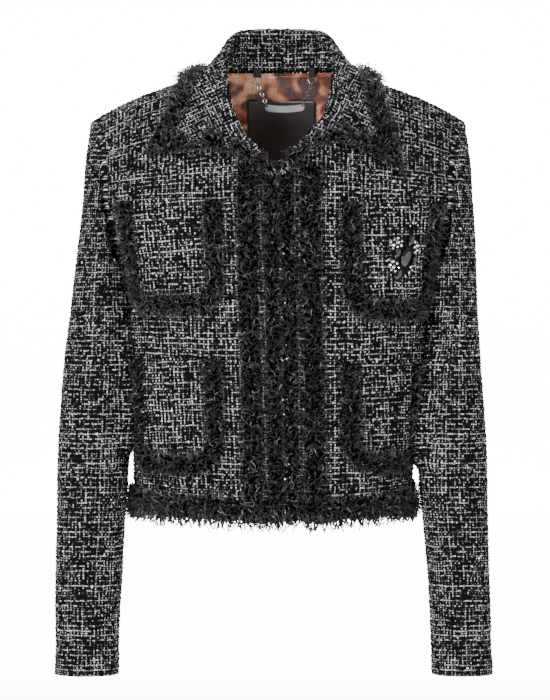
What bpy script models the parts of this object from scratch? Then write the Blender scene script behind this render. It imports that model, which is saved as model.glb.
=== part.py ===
"""A cropped tweed jacket, filled out as if worn, with nobody in it.

Lengths are millimetres until a mesh is made. The wearer's left is +X, the front faces -Y and up is +Z.
The origin lies midway between the two neck points, on the shoulder line, where the wearer holds it up.
"""
import functools
import math

import bmesh
import bpy
import numpy as np
from mathutils import Vector
from mathutils.bvhtree import BVHTree

MM = 0.001

# Cloth and seams
CLOTH = 2.4
SLEEVE_CLOTH = 2.6
COLLAR_CLOTH = 2.0
POCKET_CLOTH = 2.0
LINING = 1.0
LEATHER = 1.0
SEAM = 0.3
ARMHOLE_SEAM = 0.5
SLEEVE_CLEAR = 1.6
LAID_ON = 0.9
BAND_LIFT = 0.9

# Heights of the body, from the shoulder line down
HEM_FRONT_Z = -487.0
HEM_SIDE_Z = -478.0
HEM_BACK_Z = -484.0
UNDERARM_Z = -218.0
CHEST_Z = -150.0
V_BOTTOM_Z = -124.0

# Widths
ARMHOLE_DEPTH = 62.0
SHOULDER_TIP_X = 198.0
NECK_SHIFT = 3.0
BACK_NECK_X = 62.0
BODY_ROUND = 2.35
SHOULDER_ROUND = 0.88
SLEEVE_ROUND = 2.2

# Horizontal sections of the body: z, half_width, centre_x, front, back
TORSO = (
    (-495, 152.0, -6.0, 112, 104),
    (-434, 153.5, -5.0, 110, 100),
    (-380, 157.5, -3.0, 108, 97),
    (-340, 160.5, -0.5, 110, 97),
    (-300, 164.5, 1.5, 112, 98),
    (-262, 168.5, 1.0, 114, 100),
    (-225, 171.5, 0.5, 115.5, 102),
    (CHEST_Z, 208.0, 0.0, 112, 104),
)

# The line of the shoulders: x, z
SHOULDER_LINE = ((0, 20), (62, 0), (125, -20), (160, -33.5), (185, -45.5), (SHOULDER_TIP_X, -53))

# The front neckline: z, right_x, left_x
NECKLINE = (
    (V_BOTTOM_Z, 0, 0), (-112, 9, 10), (-100, 20, 22), (-86, 32, 32), (-76, 39, 40),
    (-53, 50, 53), (-37, 55, 58), (-20, 57, 61), (0, 59, 65),
)

# Rings of each sleeve: outer_x, outer_z, inner_x, inner_z, half_depth, centre_y
RIGHT_SLEEVE = (
    (206.5, -72, 173.5, -208, 64, 0), (210.5, -100, 176.5, -211, 64, -1),
    (213, -135, 172, -226, 64, -2), (217.5, -178, 170, -244, 63, -3),
    (223, -225, 168, -270, 62, -5), (229, -275, 164, -302, 60, -8),
    (235, -330, 162, -342, 58, -12), (239.5, -388, 162, -392, 56, -18),
    (241, -445, 164, -446, 53, -25), (241.5, -500, 167, -500, 50, -32),
    (242, -555, 170, -555, 47, -38), (242, -608, 172.5, -608, 44, -43),
    (242, -659.5, 173, -659.5, 42, -48),
)
LEFT_SLEEVE = (
    (206.5, -72, 174.5, -208, 64, 0), (210.5, -100, 177.5, -211, 64, -1),
    (213, -135, 173, -226, 64, -2), (216, -178, 171, -244, 63, -3),
    (217.5, -225, 169, -270, 62, -5), (219.5, -275, 166, -302, 60, -8),
    (222.5, -330, 161, -342, 58, -12), (227, -388, 156, -392, 56, -18),
    (228.5, -445, 154, -446, 53, -25), (229.3, -500, 158.5, -500, 50, -32),
    (230, -555, 163.5, -555, 47, -38), (231.5, -608, 165.5, -608, 44, -43),
    (233, -659.5, 167, -659.5, 42, -48),
)

# The collar from the closure to the shoulder: seam_z, roll_x, roll_z, edge_x, edge_z
RIGHT_LEAF = (
    (-122, 3.5, -121.0, 9, -119), (-112, 9, -108, 24, -104), (-101, 16.5, -97, 50, -94.5),
    (-91, 26, -87, 82, -92), (-80, 34, -77.5, 113, -96), (-70, 40, -66, 141, -98),
    (-59, 46, -54, 130, -75), (-46, 51, -39, 117, -50), (-30, 53, -22, 109, -30),
    (-13, 54.5, -7, 107, -19),
)
LEFT_LEAF = (
    (-122, 3.5, -120.5, 9, -117.5), (-112, 8.5, -107.5, 18, -104), (-100, 16, -94.5, 31, -91),
    (-87, 27, -82, 48, -84.5), (-75, 36, -72, 73, -86), (-64, 44, -62, 101, -99.5),
    (-54, 50, -53.5, 132, -116), (-43, 54.5, -42, 125, -84), (-29, 57, -26, 114, -45),
    (-13, 57.5, -9, 109, -20.5),
)
# The collar from the shoulder to the centre back: seam_x, seam_over, roll_x, roll_y, roll_z, edge_x, edge_over
COLLAR_BACK = (
    (61, -13, 56.5, -32, 4, 106, -10), (62, 0, 56, -8, 21, 104, 0), (55, 9, 52, 15, 35, 99, 11),
    (43, 18, 42, 36, 45, 84, 22), (24, 27, 25, 53, 49, 51, 33), (0, 30, 0, 60, 50, 0, 39),
)
COLLAR_LIFT = 4.6
ROLL_LIFT = 5.5
STAND_CLEAR = 1.4
STAND_RISE = 0.8
CREST_OUT = 3.6
CREST_RISE = 1.8
ROLL_OUT = 6.6
ROLL_RISE = 0.4
ROLL_FADE = 2.2

# Fringe of cut ribbon yarn
FRINGE_HEIGHT = 6.0
LOCK_LENGTH = 6.0
LOCK_TAPER = 0.4

# Strips down each front: name, near, far, top_z
FRONT_STRIPS = (("inner", 0.9, 18.5, -132), ("outer", 21.0, 44.5, -126))
STRIP_END_Z = -467.0
HEM_BAND = 17.0

# Patch pockets: name, side, inner_x, top_z, width, depth
POCKETS = (
    ("chest_right", -1, 60, -147, 118, 120), ("chest_left", 1, 70, -149, 116, 124),
    ("hip_right", -1, 60, -317, 116, 122), ("hip_left", 1, 70, -322, 106, 116),
)
POCKET_CORNER = 32.0
POCKET_BAND = 18.0

# Jewelled closures down the centre front
JEWEL_ZS = (-213.0, -264.0, -310.0, -368.0, -438.0)
JEWEL_LIFT = 3.9

# Hanger under the back neck
HANGER_X = 7.6
RING_APART = 31.4
RING_WIDTH = 10.4
RING_DROP = 9.0
RING_WIRE = 0.45
TAB_WIDTH = 8.0
TAB_HEIGHT = 10.0
TAB_DEPTH = 3.2
HINGE_Y = 36.0
HINGE_Z = -12.5
LINK_WIRE = 0.45
LINK_END = 1.8
LINK_STRAIGHT = 1.2
LINK_PITCH = 4.05
LINKS = 7
BAR_LENGTH = 44.0
BAR_HEIGHT = 8.0
BAR_THICK = 1.5
BAR_SAG = 2.0
BAR_TOP = 2.1
BAR_HOLE = 1.1
BAR_HOLE_X = 20.0
BAR_END_SHARE = 0.86
BAR_END_TAPER = 0.45
BAR_STATIONS = 15
TAB_CLEAR = 0.35
TAB_TOP = 4.5
TUNNEL = 1.0
WIRE_SIDES = 2

# Leather label on the back lining
LABEL_X = (-35.0, 43.0)
LABEL_Z = (-106.0, -27.0)

# Brooch on the wearer's left chest pocket: x and z of its middle
BROOCH_X = 133.0
BROOCH_Z = -206.0
BROOCH_HALF = (15.0, 23.0)
# Its large stones: name, across, up, half_width, half_height, lean, point
BROOCH_STONES = (
    ("centre", 2.0, -1.0, 6.6, 10.4, 12, 2.0), ("top", 4.5, 18.2, 3.4, 7.6, 14, 1.4),
    ("bottom", -3.5, -20.0, 3.4, 7.6, 14, 1.4), ("left", -10.4, 1.8, 3.6, 6.6, 16, 1.8),
    ("right", 12.6, -2.6, 3.0, 6.2, 10, 1.8),
)


# ---------------------------------------------------------------- curves and sections

@functools.cache
def read(table, at):
    """Every column of a table where its first column is `at`, on a smooth curve through its rows."""
    rows = np.array(table, float)
    keys = rows[:, 0]
    slopes = np.gradient(rows, keys, axis=0)
    at = min(max(at, keys[0]), keys[-1])
    low = min(int(np.searchsorted(keys, at, side="right")) - 1, len(keys) - 2)
    span = keys[low + 1] - keys[low]
    t = (at - keys[low]) / span
    start = (1 + 2 * t) * (1 - t) ** 2 * rows[low] + t * (1 - t) ** 2 * span * slopes[low]
    return start + t * t * (3 - 2 * t) * rows[low + 1] + t * t * (t - 1) * span * slopes[low + 1]


def power(value, exponent):
    """A power that keeps its sign."""
    return math.copysign(abs(value) ** exponent, value)


def shoulder_z(x):
    return float(read(SHOULDER_LINE, abs(x))[1])


def closure_x(z):
    """Where the two fronts meet: the line leans towards the wearer's left at the hem."""
    return float(np.interp(z, (-484, V_BOTTOM_Z), (7.7, 0.0)))


def neckline_x(z, side):
    return side * float(read(NECKLINE, z)[2 if side > 0 else 1])


def section(z, side, angle):
    """A point of the body below the chest line: -90 degrees at the front, 0 at the side, 90 at the back."""
    _, half, centre, front, back = read(TORSO, z)
    turn = math.radians(angle)
    depth = front if angle < 0 else back
    x = centre + side * half * power(math.cos(turn), 2 / BODY_ROUND)
    return np.array((x, depth * power(math.sin(turn), 2 / BODY_ROUND), z))


def reach_at(x, face):
    """How far the chest (face -1) or the back (face 1) stands from the shoulder line at x."""
    _, half, _, front, back = read(TORSO, CHEST_Z)
    depth = front if face < 0 else back
    return depth * max(1 - abs(x / half) ** BODY_ROUND, 0) ** (1 / BODY_ROUND)


def over(x, angle):
    """A point above the chest line: -90 at the chest, 0 on top of the shoulder, 90 at the back."""
    face = -1 if angle < 0 else 1
    rise = math.radians(90 - abs(angle))
    lift = math.sin(rise) ** SHOULDER_ROUND
    y = face * reach_at(x, face) * max(math.cos(rise), 0) ** SHOULDER_ROUND
    return np.array((x, y, CHEST_Z + (shoulder_z(x) - CHEST_Z) * lift))


def over_angle(x, z, face):
    """The angle at which `over` passes a height."""
    share = min(max((z - CHEST_Z) / (shoulder_z(x) - CHEST_Z), 0), 1)
    return face * (90 - math.degrees(math.asin(share ** (1 / SHOULDER_ROUND))))


def over_normal(x, angle):
    step = 0.5
    across = over(x + step, angle) - over(x - step, angle)
    along = over(x, angle + step) - over(x, angle - step)
    normal = np.cross(across, along)
    return normal / np.linalg.norm(normal)


# ---------------------------------------------------------------- rows of the body panels

BELOW_ROWS = 8
ARMHOLE_TURNS = (22.5, 45, 67.5, 90)
SHOULDER_RISES = (6.8, 18, 34, 52, 70, 85, 90)
LEVELS = (
    [("below", step / BELOW_ROWS) for step in range(BELOW_ROWS + 1)]
    + [("armhole", turn) for turn in ARMHOLE_TURNS]
    + [("over", rise) for rise in SHOULDER_RISES]
)
FINE = 80


def armhole_x(rise, face):
    """The armhole edge above the chest line, in to the cross-front and out to the shoulder tip."""
    _, half, _, front, back = read(TORSO, CHEST_Z)
    depth = front if face < 0 else back
    chest = half * (1 - (ARMHOLE_DEPTH / depth) ** BODY_ROUND) ** (1 / BODY_ROUND)
    return chest + (SHOULDER_TIP_X - chest) * (rise / 90) ** 1.5


def closure_angle(z, side):
    """The section angle at the front edge, half a seam to its own side of the closure."""
    _, half, centre, _, _ = read(TORSO, z)
    local = side * (closure_x(z) - centre) + SEAM / 2
    return -math.degrees(math.acos(power(local / half, BODY_ROUND / 2)))


def low_row(kind, value, side, face):
    """Half a row below the chest line, from the centre to the side seam or the armhole."""
    z = UNDERARM_Z
    end = 0.0
    if kind == "armhole":
        turn = math.radians(value)
        z = CHEST_Z - (CHEST_Z - UNDERARM_Z) * math.cos(turn)
        _, _, _, front, back = read(TORSO, z)
        share = ARMHOLE_DEPTH * math.sin(turn) / (front if face < 0 else back)
        end = face * math.degrees(math.asin(share ** (BODY_ROUND / 2)))
    points = []
    for step in np.linspace(0, 1, FINE):
        middle_z = HEM_FRONT_Z if face < 0 else HEM_BACK_Z
        start = closure_angle(z, side) if face < 0 else 90.0
        angle = start + (end - start) * step
        if kind == "below":
            dip = math.sin(math.radians(angle)) ** 2
            hem = HEM_SIDE_Z + (middle_z - HEM_SIDE_Z) * dip
            z_here = hem + (UNDERARM_Z - hem) * value
            start = closure_angle(z_here, side) if face < 0 else 90.0
            angle = start + (end - start) * step
            points.append(section(z_here, side, angle))
        else:
            points.append(section(z, side, angle))
    return np.array(points)


def back_rise(x):
    """The highest angle of the back at x: the shoulder seam, or the back neckline between the neck points."""
    local = abs(x - NECK_SHIFT)
    if local >= BACK_NECK_X:
        return 90.0
    neckline_z = 1.5 * (1 - (local / BACK_NECK_X) ** 2)
    share = (neckline_z - CHEST_Z) / (shoulder_z(x) - CHEST_Z)
    return math.degrees(math.asin(min(share, 1) ** (1 / SHOULDER_ROUND)))


def high_row(rise, side, face):
    """Half a row above the chest line, from the centre or the neckline to the armhole."""
    end = armhole_x(rise, face)
    start = 0.0
    if face < 0:
        start = SEAM / 2
        for _ in range(40):
            z = over(side * start, -(90 - rise))[2]
            start = 0.5 * start + 0.5 * max(side * neckline_x(z, side), SEAM / 2)
    points = []
    for x in np.linspace(start, end, FINE):
        angle = 90 - rise
        if face > 0:
            angle = 90 - rise * back_rise(side * x) / 90
        point = over(side * x, face * angle)
        point[1] = face * max(face * point[1], SEAM / 2)
        points.append(point)
    return np.array(points)


def lengths(points):
    steps = np.linalg.norm(np.diff(points, axis=0), axis=1)
    return np.concatenate(([0.0], np.cumsum(steps)))


def spread(points, shares, trim=0.0):
    """Points at shares of a row's length, with its end trimmed for a seam."""
    length = lengths(points)
    wanted = np.array(shares) * (length[-1] - trim)
    return np.stack([np.interp(wanted, length, points[:, axis]) for axis in range(3)], axis=1)


def half_row(level, side, face, shares):
    kind, value = level
    if kind == "over":
        return spread(high_row(value, side, face), shares)
    trim = SEAM / 2 if kind == "below" else 0.0
    return spread(low_row(kind, value, side, face), shares, trim)


def front_points(side, shares):
    return np.array([half_row(level, side, -1, shares) for level in LEVELS])


def back_points(shares):
    rows = []
    for level in LEVELS:
        right = half_row(level, -1, 1, shares)[::-1]
        left = half_row(level, 1, 1, shares)
        rows.append(np.concatenate((right[:-1], left)))
    return np.array(rows)


def grid_normals(points, outward):
    """Normals of a grid of points, turned so that they point away from the hollow."""
    rows, columns, _ = points.shape
    normals = np.zeros_like(points)
    for row in range(rows - 1):
        for column in range(columns - 1):
            a, b = points[row, column], points[row, column + 1]
            c, d = points[row + 1, column + 1], points[row + 1, column]
            face = np.cross(c - a, d - b)
            normals[row:row + 2, column:column + 2] += face / np.linalg.norm(face)
    normals /= np.linalg.norm(normals, axis=2, keepdims=True)
    middle = normals[rows // 2, columns // 2]
    return normals if np.dot(middle, outward) > 0 else -normals


# ---------------------------------------------------------------- making objects

def material(name, colour, roughness, metallic=0.0):
    made = bpy.data.materials.new(name)
    made.use_nodes = True
    shader = made.node_tree.nodes["Principled BSDF"]
    shader.inputs["Base Color"].default_value = (*colour, 1)
    shader.inputs["Roughness"].default_value = roughness
    shader.inputs["Metallic"].default_value = metallic
    return made


def add_object(name, mesh, finish, smooth_angle=40):
    made = bpy.data.objects.new(name, mesh)
    mesh.materials.append(finish)
    mesh.shade_smooth()
    mesh.set_sharp_from_angle(angle=math.radians(smooth_angle))
    jacket.objects.link(made)
    return made


def mesh_from(bm, name):
    bmesh.ops.recalc_face_normals(bm, faces=bm.faces[:])
    if bm.calc_volume(signed=True) < 0:
        bmesh.ops.reverse_faces(bm, faces=bm.faces[:])
    mesh = bpy.data.meshes.new(name)
    bm.to_mesh(mesh)
    bm.free()
    return mesh


def cloth(name, points, outward, thickness, finish, closed=False, raised=False, even=True):
    """A cloth piece: the grid is its outer face, or its under face where it is raised on another piece."""
    rows, columns, _ = points.shape
    bm = bmesh.new()
    verts = [[bm.verts.new(Vector(point) * MM) for point in row] for row in points]
    for row in range(rows - 1):
        for column in range(columns if closed else columns - 1):
            after = (column + 1) % columns
            bm.faces.new((verts[row][column], verts[row][after], verts[row + 1][after], verts[row + 1][column]))
    bm.faces.index_update()
    bm.normal_update()
    facing = 0.0
    for face in bm.faces:
        away = Vector(outward)
        if closed:
            away = face.calc_center_median() - Vector(points[face.index // columns].mean(axis=0)) * MM
        facing += face.normal.dot(away)
    if facing < 0:
        bmesh.ops.reverse_faces(bm, faces=bm.faces[:])
    mesh = bpy.data.meshes.new(name)
    bm.to_mesh(mesh)
    bm.free()
    made = add_object(name, mesh, finish)
    wall = made.modifiers.new("cloth wall", "SOLIDIFY")
    wall.thickness = thickness * MM
    wall.offset = 1 if raised else -1
    wall.use_even_offset = even
    return made


def loft(name, rings, finish, closed=False):
    """A solid through rings of points, capped at both ends or joined into a loop."""
    bm = bmesh.new()
    verts = [[bm.verts.new(Vector(point) * MM) for point in ring] for ring in rings]
    count = len(rings[0])
    last = len(rings) if closed else len(rings) - 1
    for ring in range(last):
        after = verts[(ring + 1) % len(rings)]
        for corner in range(count):
            beside = (corner + 1) % count
            bm.faces.new((verts[ring][corner], verts[ring][beside], after[beside], after[corner]))
    if not closed:
        bm.faces.new(verts[0])
        bm.faces.new(verts[-1])
    return add_object(name, mesh_from(bm, name), finish)


def fringe(name, near, under, far, normals, height, reach, sides, finish):
    """A crowned band of ribbon yarn from its near to its far edge, with locks pushed out of its flanks.

    `under` is the line under the crown, `reach` is how far a lock stands sideways past the edge and
    `sides` says which flanks carry locks."""
    bm = bmesh.new()
    rings = []
    for step, (start, end, normal) in enumerate(zip(near, far, normals)):
        crown = height * (1.0 if step % 2 else 0.82)
        profile = ((0.0, 0.0), (0.14, 0.62 * height), (0.5, crown), (0.86, 0.62 * height), (1.0, 0.0))
        ring = [start + (end - start) * across + normal * rise for across, rise in profile]
        ring.append(under[step])
        rings.append([bm.verts.new(Vector(point) * MM) for point in ring])
    corners = len(rings[0])
    flanks = []
    for step in range(len(rings) - 1):
        for corner in range(corners):
            beside = (corner + 1) % corners
            quad = (rings[step][corner], rings[step][beside], rings[step + 1][beside], rings[step + 1][corner])
            face = bm.faces.new(quad)
            flank = sides[step % len(sides)]
            if corner == {"near": 0, "far": 3, "near_top": 1, "far_top": 2}.get(flank, -1):
                across = (far[step] - near[step]) + (far[step + 1] - near[step + 1])
                across /= np.linalg.norm(across)
                if flank.startswith("near"):
                    across = -across
                up = normals[step] + normals[step + 1]
                flanks.append((face, across * reach + up / np.linalg.norm(up) * LOCK_LENGTH * 0.5))
    bm.faces.new(rings[0])
    bm.faces.new(rings[-1])
    bmesh.ops.recalc_face_normals(bm, faces=bm.faces[:])
    for face, push in flanks:
        tip = bmesh.ops.extrude_discrete_faces(bm, faces=[face])["faces"][0]
        middle = tip.calc_center_median()
        for vert in tip.verts:
            vert.co = middle + (vert.co - middle) * LOCK_TAPER + Vector(push) * MM
    return add_object(name, mesh_from(bm, name), finish)


def place(lines, count):
    """Resample the lines of a band to `count` even stations along the first of them."""
    length = lengths(lines[0])
    wanted = np.linspace(0, length[-1], count)
    return [np.stack([np.interp(wanted, length, line[:, k]) for k in range(3)], axis=1) for line in lines]


def band_across(line, facing, start, end, lift):
    """Near, middle and far points of a band on a line of cloth, with its normal, from start to end mm."""
    length = lengths(line)
    middle = 0.5 * (start + end)
    normal = np.array([np.interp(middle, length, facing[:, k]) for k in range(3)])
    normal /= np.linalg.norm(normal)
    found = [np.array([np.interp(at, length, line[:, k]) for k in range(3)]) for at in (start, middle, end)]
    return [point + normal * lift for point in found] + [normal]


# ---------------------------------------------------------------- spots on a panel

def spot(panel, reach, z, lift=0.0):
    """A point on a panel and its normal, `reach` mm along the cloth from its first edge, at a height."""
    points, normals = panel
    column = []
    for row, facing in zip(points, normals):
        length = lengths(row)
        both = np.concatenate((row, facing), axis=1)
        column.append([np.interp(reach, length, both[:, k]) for k in range(6)])
    column = np.array(column)
    found = np.array([np.interp(z, column[:, 2], column[:, k]) for k in range(6)])
    normal = found[3:] / np.linalg.norm(found[3:])
    return found[:3] + normal * lift, normal


def reach_to(panel, x, z):
    """How far along the cloth a panel's point lies whose x is given."""
    low, high = 0.0, 420.0
    rising = panel[0][0][-1][0] > panel[0][0][0][0]
    for _ in range(30):
        middle = 0.5 * (low + high)
        past = (spot(panel, middle, z)[0][0] > x) == rising
        low, high = (low, middle) if past else (middle, high)
    return 0.5 * (low + high)


# ---------------------------------------------------------------- the scene

for old in list(bpy.data.objects):
    bpy.data.objects.remove(old, do_unlink=True)

jacket = bpy.data.collections.new("tweed_jacket")
cutters = bpy.data.collections.new("cutters")
bpy.context.scene.collection.children.link(jacket)
bpy.context.scene.collection.children.link(cutters)

TWEED = material("tweed", (0.09, 0.09, 0.095), 0.9)
RIBBON = material("ribbon_fringe", (0.012, 0.012, 0.014), 0.5)
PRINT = material("printed_lining", (0.42, 0.2, 0.12), 0.6)
BLACK_LEATHER = material("black_leather", (0.01, 0.01, 0.011), 0.45)
BLACK_TAPE = material("black_tape", (0.012, 0.012, 0.013), 0.6)
CHROME = material("chromed_metal", (0.7, 0.7, 0.72), 0.15, 1.0)
JET = material("jet_glass", (0.004, 0.004, 0.006), 0.08)
GUNMETAL = material("gunmetal", (0.12, 0.12, 0.13), 0.3, 1.0)

# Body panels, cut edge to edge. What is laid on them follows a finer grid of the same cloth.
FINE_SHARES = np.linspace(0, 1, 41)
FRONT_SHARES = (0, 0.12, 0.24, 0.36, 0.48, 0.6, 0.72, 0.84, 0.97, 1.0)
BACK_SHARES = (0, 0.1, 0.2, 0.313, 0.43, 0.55, 0.67, 0.78, 0.88, 0.97, 1.0)
fronts = {}
fine_fronts = {}
for side, name in ((-1, "front_right"), (1, "front_left")):
    outward = (side * 0.5, -1, 0)
    grid = front_points(side, FRONT_SHARES)
    fronts[side] = (grid, grid_normals(grid, outward))
    cloth(name, grid, outward, CLOTH, TWEED)
    grid = front_points(side, FINE_SHARES)
    fine_fronts[side] = (grid, grid_normals(grid, outward))
grid = back_points(BACK_SHARES)
back = (grid, grid_normals(grid, (0, 1, 0)))
cloth("back_panel", grid, (0, 1, 0), CLOTH, TWEED)
grid = back_points(FINE_SHARES)
fine_back = (grid, grid_normals(grid, (0, 1, 0)))


# Sleeves, set into the armholes
FIRST_ARMHOLE_ROW = BELOW_ROWS


def armhole(side):
    """The armhole as a loop: shoulder tip, front edge, underarm, back edge. Points and cloth normals."""
    front_grid, front_facing = fronts[side]
    back_grid, back_facing = back
    column = -1 if side > 0 else 0
    rows = range(len(LEVELS) - 1, FIRST_ARMHOLE_ROW - 1, -1)
    ahead = [(front_grid[row][-1], front_facing[row][-1]) for row in rows]
    behind = [(back_grid[row][column], back_facing[row][column]) for row in rows]
    loop = []
    for step, (one, other) in enumerate(zip(ahead, behind)):
        if step in (0, len(ahead) - 1):
            loop.append((0.5 * (one[0] + other[0]), one[1] + other[1]))
        else:
            loop.append(one)
    loop += behind[-2:0:-1]
    points = np.array([point for point, _ in loop])
    normals = np.array([normal / np.linalg.norm(normal) for _, normal in loop])
    edges = np.roll(points, -1, axis=0) - np.roll(points, 1, axis=0)
    out = np.cross(edges, normals)
    out /= np.linalg.norm(out, axis=1, keepdims=True)
    if out[0][0] * side < 0:
        out = -out
    return points, out


def sleeve_points(side, table):
    points, out = armhole(side)
    count = len(points)
    rings = [points + out * ARMHOLE_SEAM, points + out * 6.0]
    for outer_x, outer_z, inner_x, inner_z, half_depth, centre_y in table:
        body_x = side * section(inner_z, side, 0)[0] if inner_z > HEM_SIDE_Z else 0.0
        inner_x = max(inner_x, body_x + SLEEVE_CLEAR)
        outer = np.array((side * outer_x, centre_y, outer_z))
        inner = np.array((side * inner_x, centre_y, inner_z))
        ring = []
        for step in range(count):
            turn = 2 * math.pi * step / count
            lean = power(math.cos(turn), 2 / SLEEVE_ROUND)
            ahead = power(math.sin(turn), 2 / SLEEVE_ROUND)
            point = 0.5 * (outer + inner) + 0.5 * (outer - inner) * lean
            ring.append(point + np.array((0, -half_depth * ahead, 0)))
        rings.append(np.array(ring))
    return np.array(rings)


for side, name, table in ((-1, "sleeve_right", RIGHT_SLEEVE), (1, "sleeve_left", LEFT_SLEEVE)):
    grid = sleeve_points(side, table)
    cloth(name, grid, (0, 1, 0), SLEEVE_CLOTH, TWEED, closed=True)


# Collar: a stand from the neck seam to the roll, and a fall from the roll to its edge
FALL_SHARES = (0.1, 0.25, 0.45, 0.7, 1.0)


def collar_stations(side, leaf):
    """Stations from the closure to the centre back: seam, roll, edge as x and over-angle, and roll lift."""
    stations = []
    for seam_z, roll_x, roll_z, edge_x, edge_z in leaf:
        seam_x = neckline_x(seam_z, side)
        seam = (seam_x, over_angle(seam_x, seam_z, -1))
        angle = over_angle(side * roll_x, roll_z, -1)
        roll = over(side * roll_x, angle) + over_normal(side * roll_x, angle) * ROLL_LIFT
        stations.append((seam, roll, (side * edge_x, over_angle(side * edge_x, edge_z, -1))))
    for seam_x, seam_over, roll_x, roll_y, roll_z, edge_x, edge_over in COLLAR_BACK:
        x = side * seam_x + NECK_SHIFT
        if seam_over > 0:
            seam_over = 90 - back_rise(x)
        roll = np.array((side * roll_x + NECK_SHIFT, roll_y, roll_z))
        stations.append(((x, seam_over), roll, (side * edge_x + NECK_SHIFT, edge_over)))
    return stations


def collar_row(station, before, after):
    """The visible face of the collar at one station."""
    (seam_x, seam_over), roll, (edge_x, edge_over) = station
    seam_normal = over_normal(seam_x, seam_over)
    seam = over(seam_x, seam_over)
    along = after[1] - before[1]
    along /= np.linalg.norm(along)
    rising = roll - seam
    rising -= along * np.dot(rising, along)
    rising /= np.linalg.norm(rising)
    out = over(edge_x, edge_over) - roll
    out -= along * np.dot(out, along) + rising * np.dot(out, rising)
    out /= np.linalg.norm(out)
    stand = seam - out * (COLLAR_CLOTH + STAND_CLEAR) + rising * STAND_RISE
    crest = roll + out * CREST_OUT + rising * CREST_RISE
    shoulder = roll + out * ROLL_OUT + rising * ROLL_RISE
    base = seam + seam_normal * COLLAR_LIFT
    row = [stand, 0.5 * (stand + roll) - out * 0.5, roll, crest]
    for share in FALL_SHARES:
        x = seam_x + (edge_x - seam_x) * share
        angle = seam_over + (edge_over - seam_over) * share
        lying = over(x, angle) + over_normal(x, angle) * COLLAR_LIFT
        row.append(lying + (shoulder - base) * (1 - share) ** ROLL_FADE)
    return row


right = collar_stations(-1, RIGHT_LEAF)
left = collar_stations(1, LEFT_LEAF)
stations = right + left[-2::-1]
rows = []
for index, station in enumerate(stations):
    before = stations[max(index - 1, 0)]
    after = stations[min(index + 1, len(stations) - 1)]
    rows.append(collar_row(station, before, after))
collar_grid = np.array(rows).transpose(1, 0, 2)
cloth("collar", collar_grid, (0, -1, 0), COLLAR_CLOTH, TWEED, even=False)


# Fringe along the collar's edge, lying on the fall: closure to leaf tip, round the back, leaf tip to closure
COLLAR_BAND = 20.0
BAND_SHARE = 0.29
LEAF_LIFT = 1.2
NARROW_LIFT = 0.3
FALL_ROW = 3
EDGE_POINTS = 40
LEAF_RUNS = ((0.7, 5, 13), (24, 29.5, 13))
collar_facing = grid_normals(collar_grid, (0, 1, 0.2))
fall = collar_grid[FALL_ROW:]
columns = fall.shape[1]
quads = [(row * columns + column, row * columns + column + 1, (row + 1) * columns + column + 1,
          (row + 1) * columns + column) for row in range(fall.shape[0] - 1) for column in range(columns - 1)]
fall_tree = BVHTree.FromPolygons([Vector(point) for point in fall.reshape(-1, 3)], quads)


def on_fall(point, facing, lift):
    """The spot of a leaf under a point, lifted for the band, and the normal there."""
    found, normal, _, _ = fall_tree.find_nearest(Vector(point))
    normal = np.array(normal)
    if np.dot(normal, facing) < 0:
        normal = -normal
    return np.array(found) + normal * lift, normal


def inset_run(first, last):
    """The collar's edge between two stations, the same line moved inwards, and its normals."""
    at = np.linspace(first, last, EDGE_POINTS)
    steps = np.arange(columns)
    edge, roll, facing = (np.stack([np.interp(at, steps, line[:, k]) for k in range(3)], axis=1)
                          for line in (fall[-1], collar_grid[2], collar_facing[-1]))
    along = np.gradient(edge, axis=0)
    inward = np.cross(facing, along)
    inward /= np.linalg.norm(inward, axis=1, keepdims=True)
    if np.sum(inward * (roll - edge)) < 0:
        inward = -inward
    room = np.array([np.linalg.norm(collar_grid[2] - point, axis=1).min() for point in edge])
    width = np.minimum(COLLAR_BAND, BAND_SHARE * room)
    return edge, edge + inward * width[:, None], facing, width


def leaf_bands(first, last, count):
    """The band along a leaf's lower edge, mitred at the tip."""
    edge, inner, facing, width = inset_run(first, last)
    rest = spread(fall[-1], np.linspace(0, 1, 400))
    own = np.array([np.linalg.norm(edge - point, axis=1).min() for point in rest])
    rest = rest[own > 2.0]
    gaps = np.array([np.linalg.norm(rest - point, axis=1).min() for point in inner])
    inner = inner[(gaps > 0.95 * width) | (width < 0.9 * COLLAR_BAND)]
    outer, outer_facing = place([edge, facing], count)
    nearer, = place([inner], count)
    made = []
    for start, end, normal in zip(nearer, outer, outer_facing):
        narrow = max(1 - np.linalg.norm(end - start) / COLLAR_BAND, 0)
        lift = LEAF_LIFT + NARROW_LIFT * narrow
        begin, first_up = on_fall(start, normal, lift)
        middle, middle_up = on_fall(0.5 * (start + end), normal, lift)
        stop, last_up = on_fall(end, normal, lift)
        mean = first_up + middle_up + last_up
        made.append(np.array((begin, middle, stop, mean / np.linalg.norm(mean))))
    return made


lower_right, lower_left = (leaf_bands(*run) for run in LEAF_RUNS)
bands = lower_right
for column in range(LEAF_RUNS[0][1] + 1, LEAF_RUNS[1][0] + 1):
    line = collar_grid[FALL_ROW:, column][::-1]
    band = lower_left[0]
    if column < LEAF_RUNS[1][0]:
        facing = collar_facing[FALL_ROW:, column][::-1]
        band = np.array(band_across(line, facing, COLLAR_BAND, 0.0, BAND_LIFT))
    bands += [0.5 * (bands[-1] + band), band]
bands += lower_left[1:]
near, under, far, up = np.array(bands).transpose(1, 0, 2)
fringe("fringe_collar", near, under, far, up, FRINGE_HEIGHT, 4.0, ("far_top", "", "far", ""), RIBBON)

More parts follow.
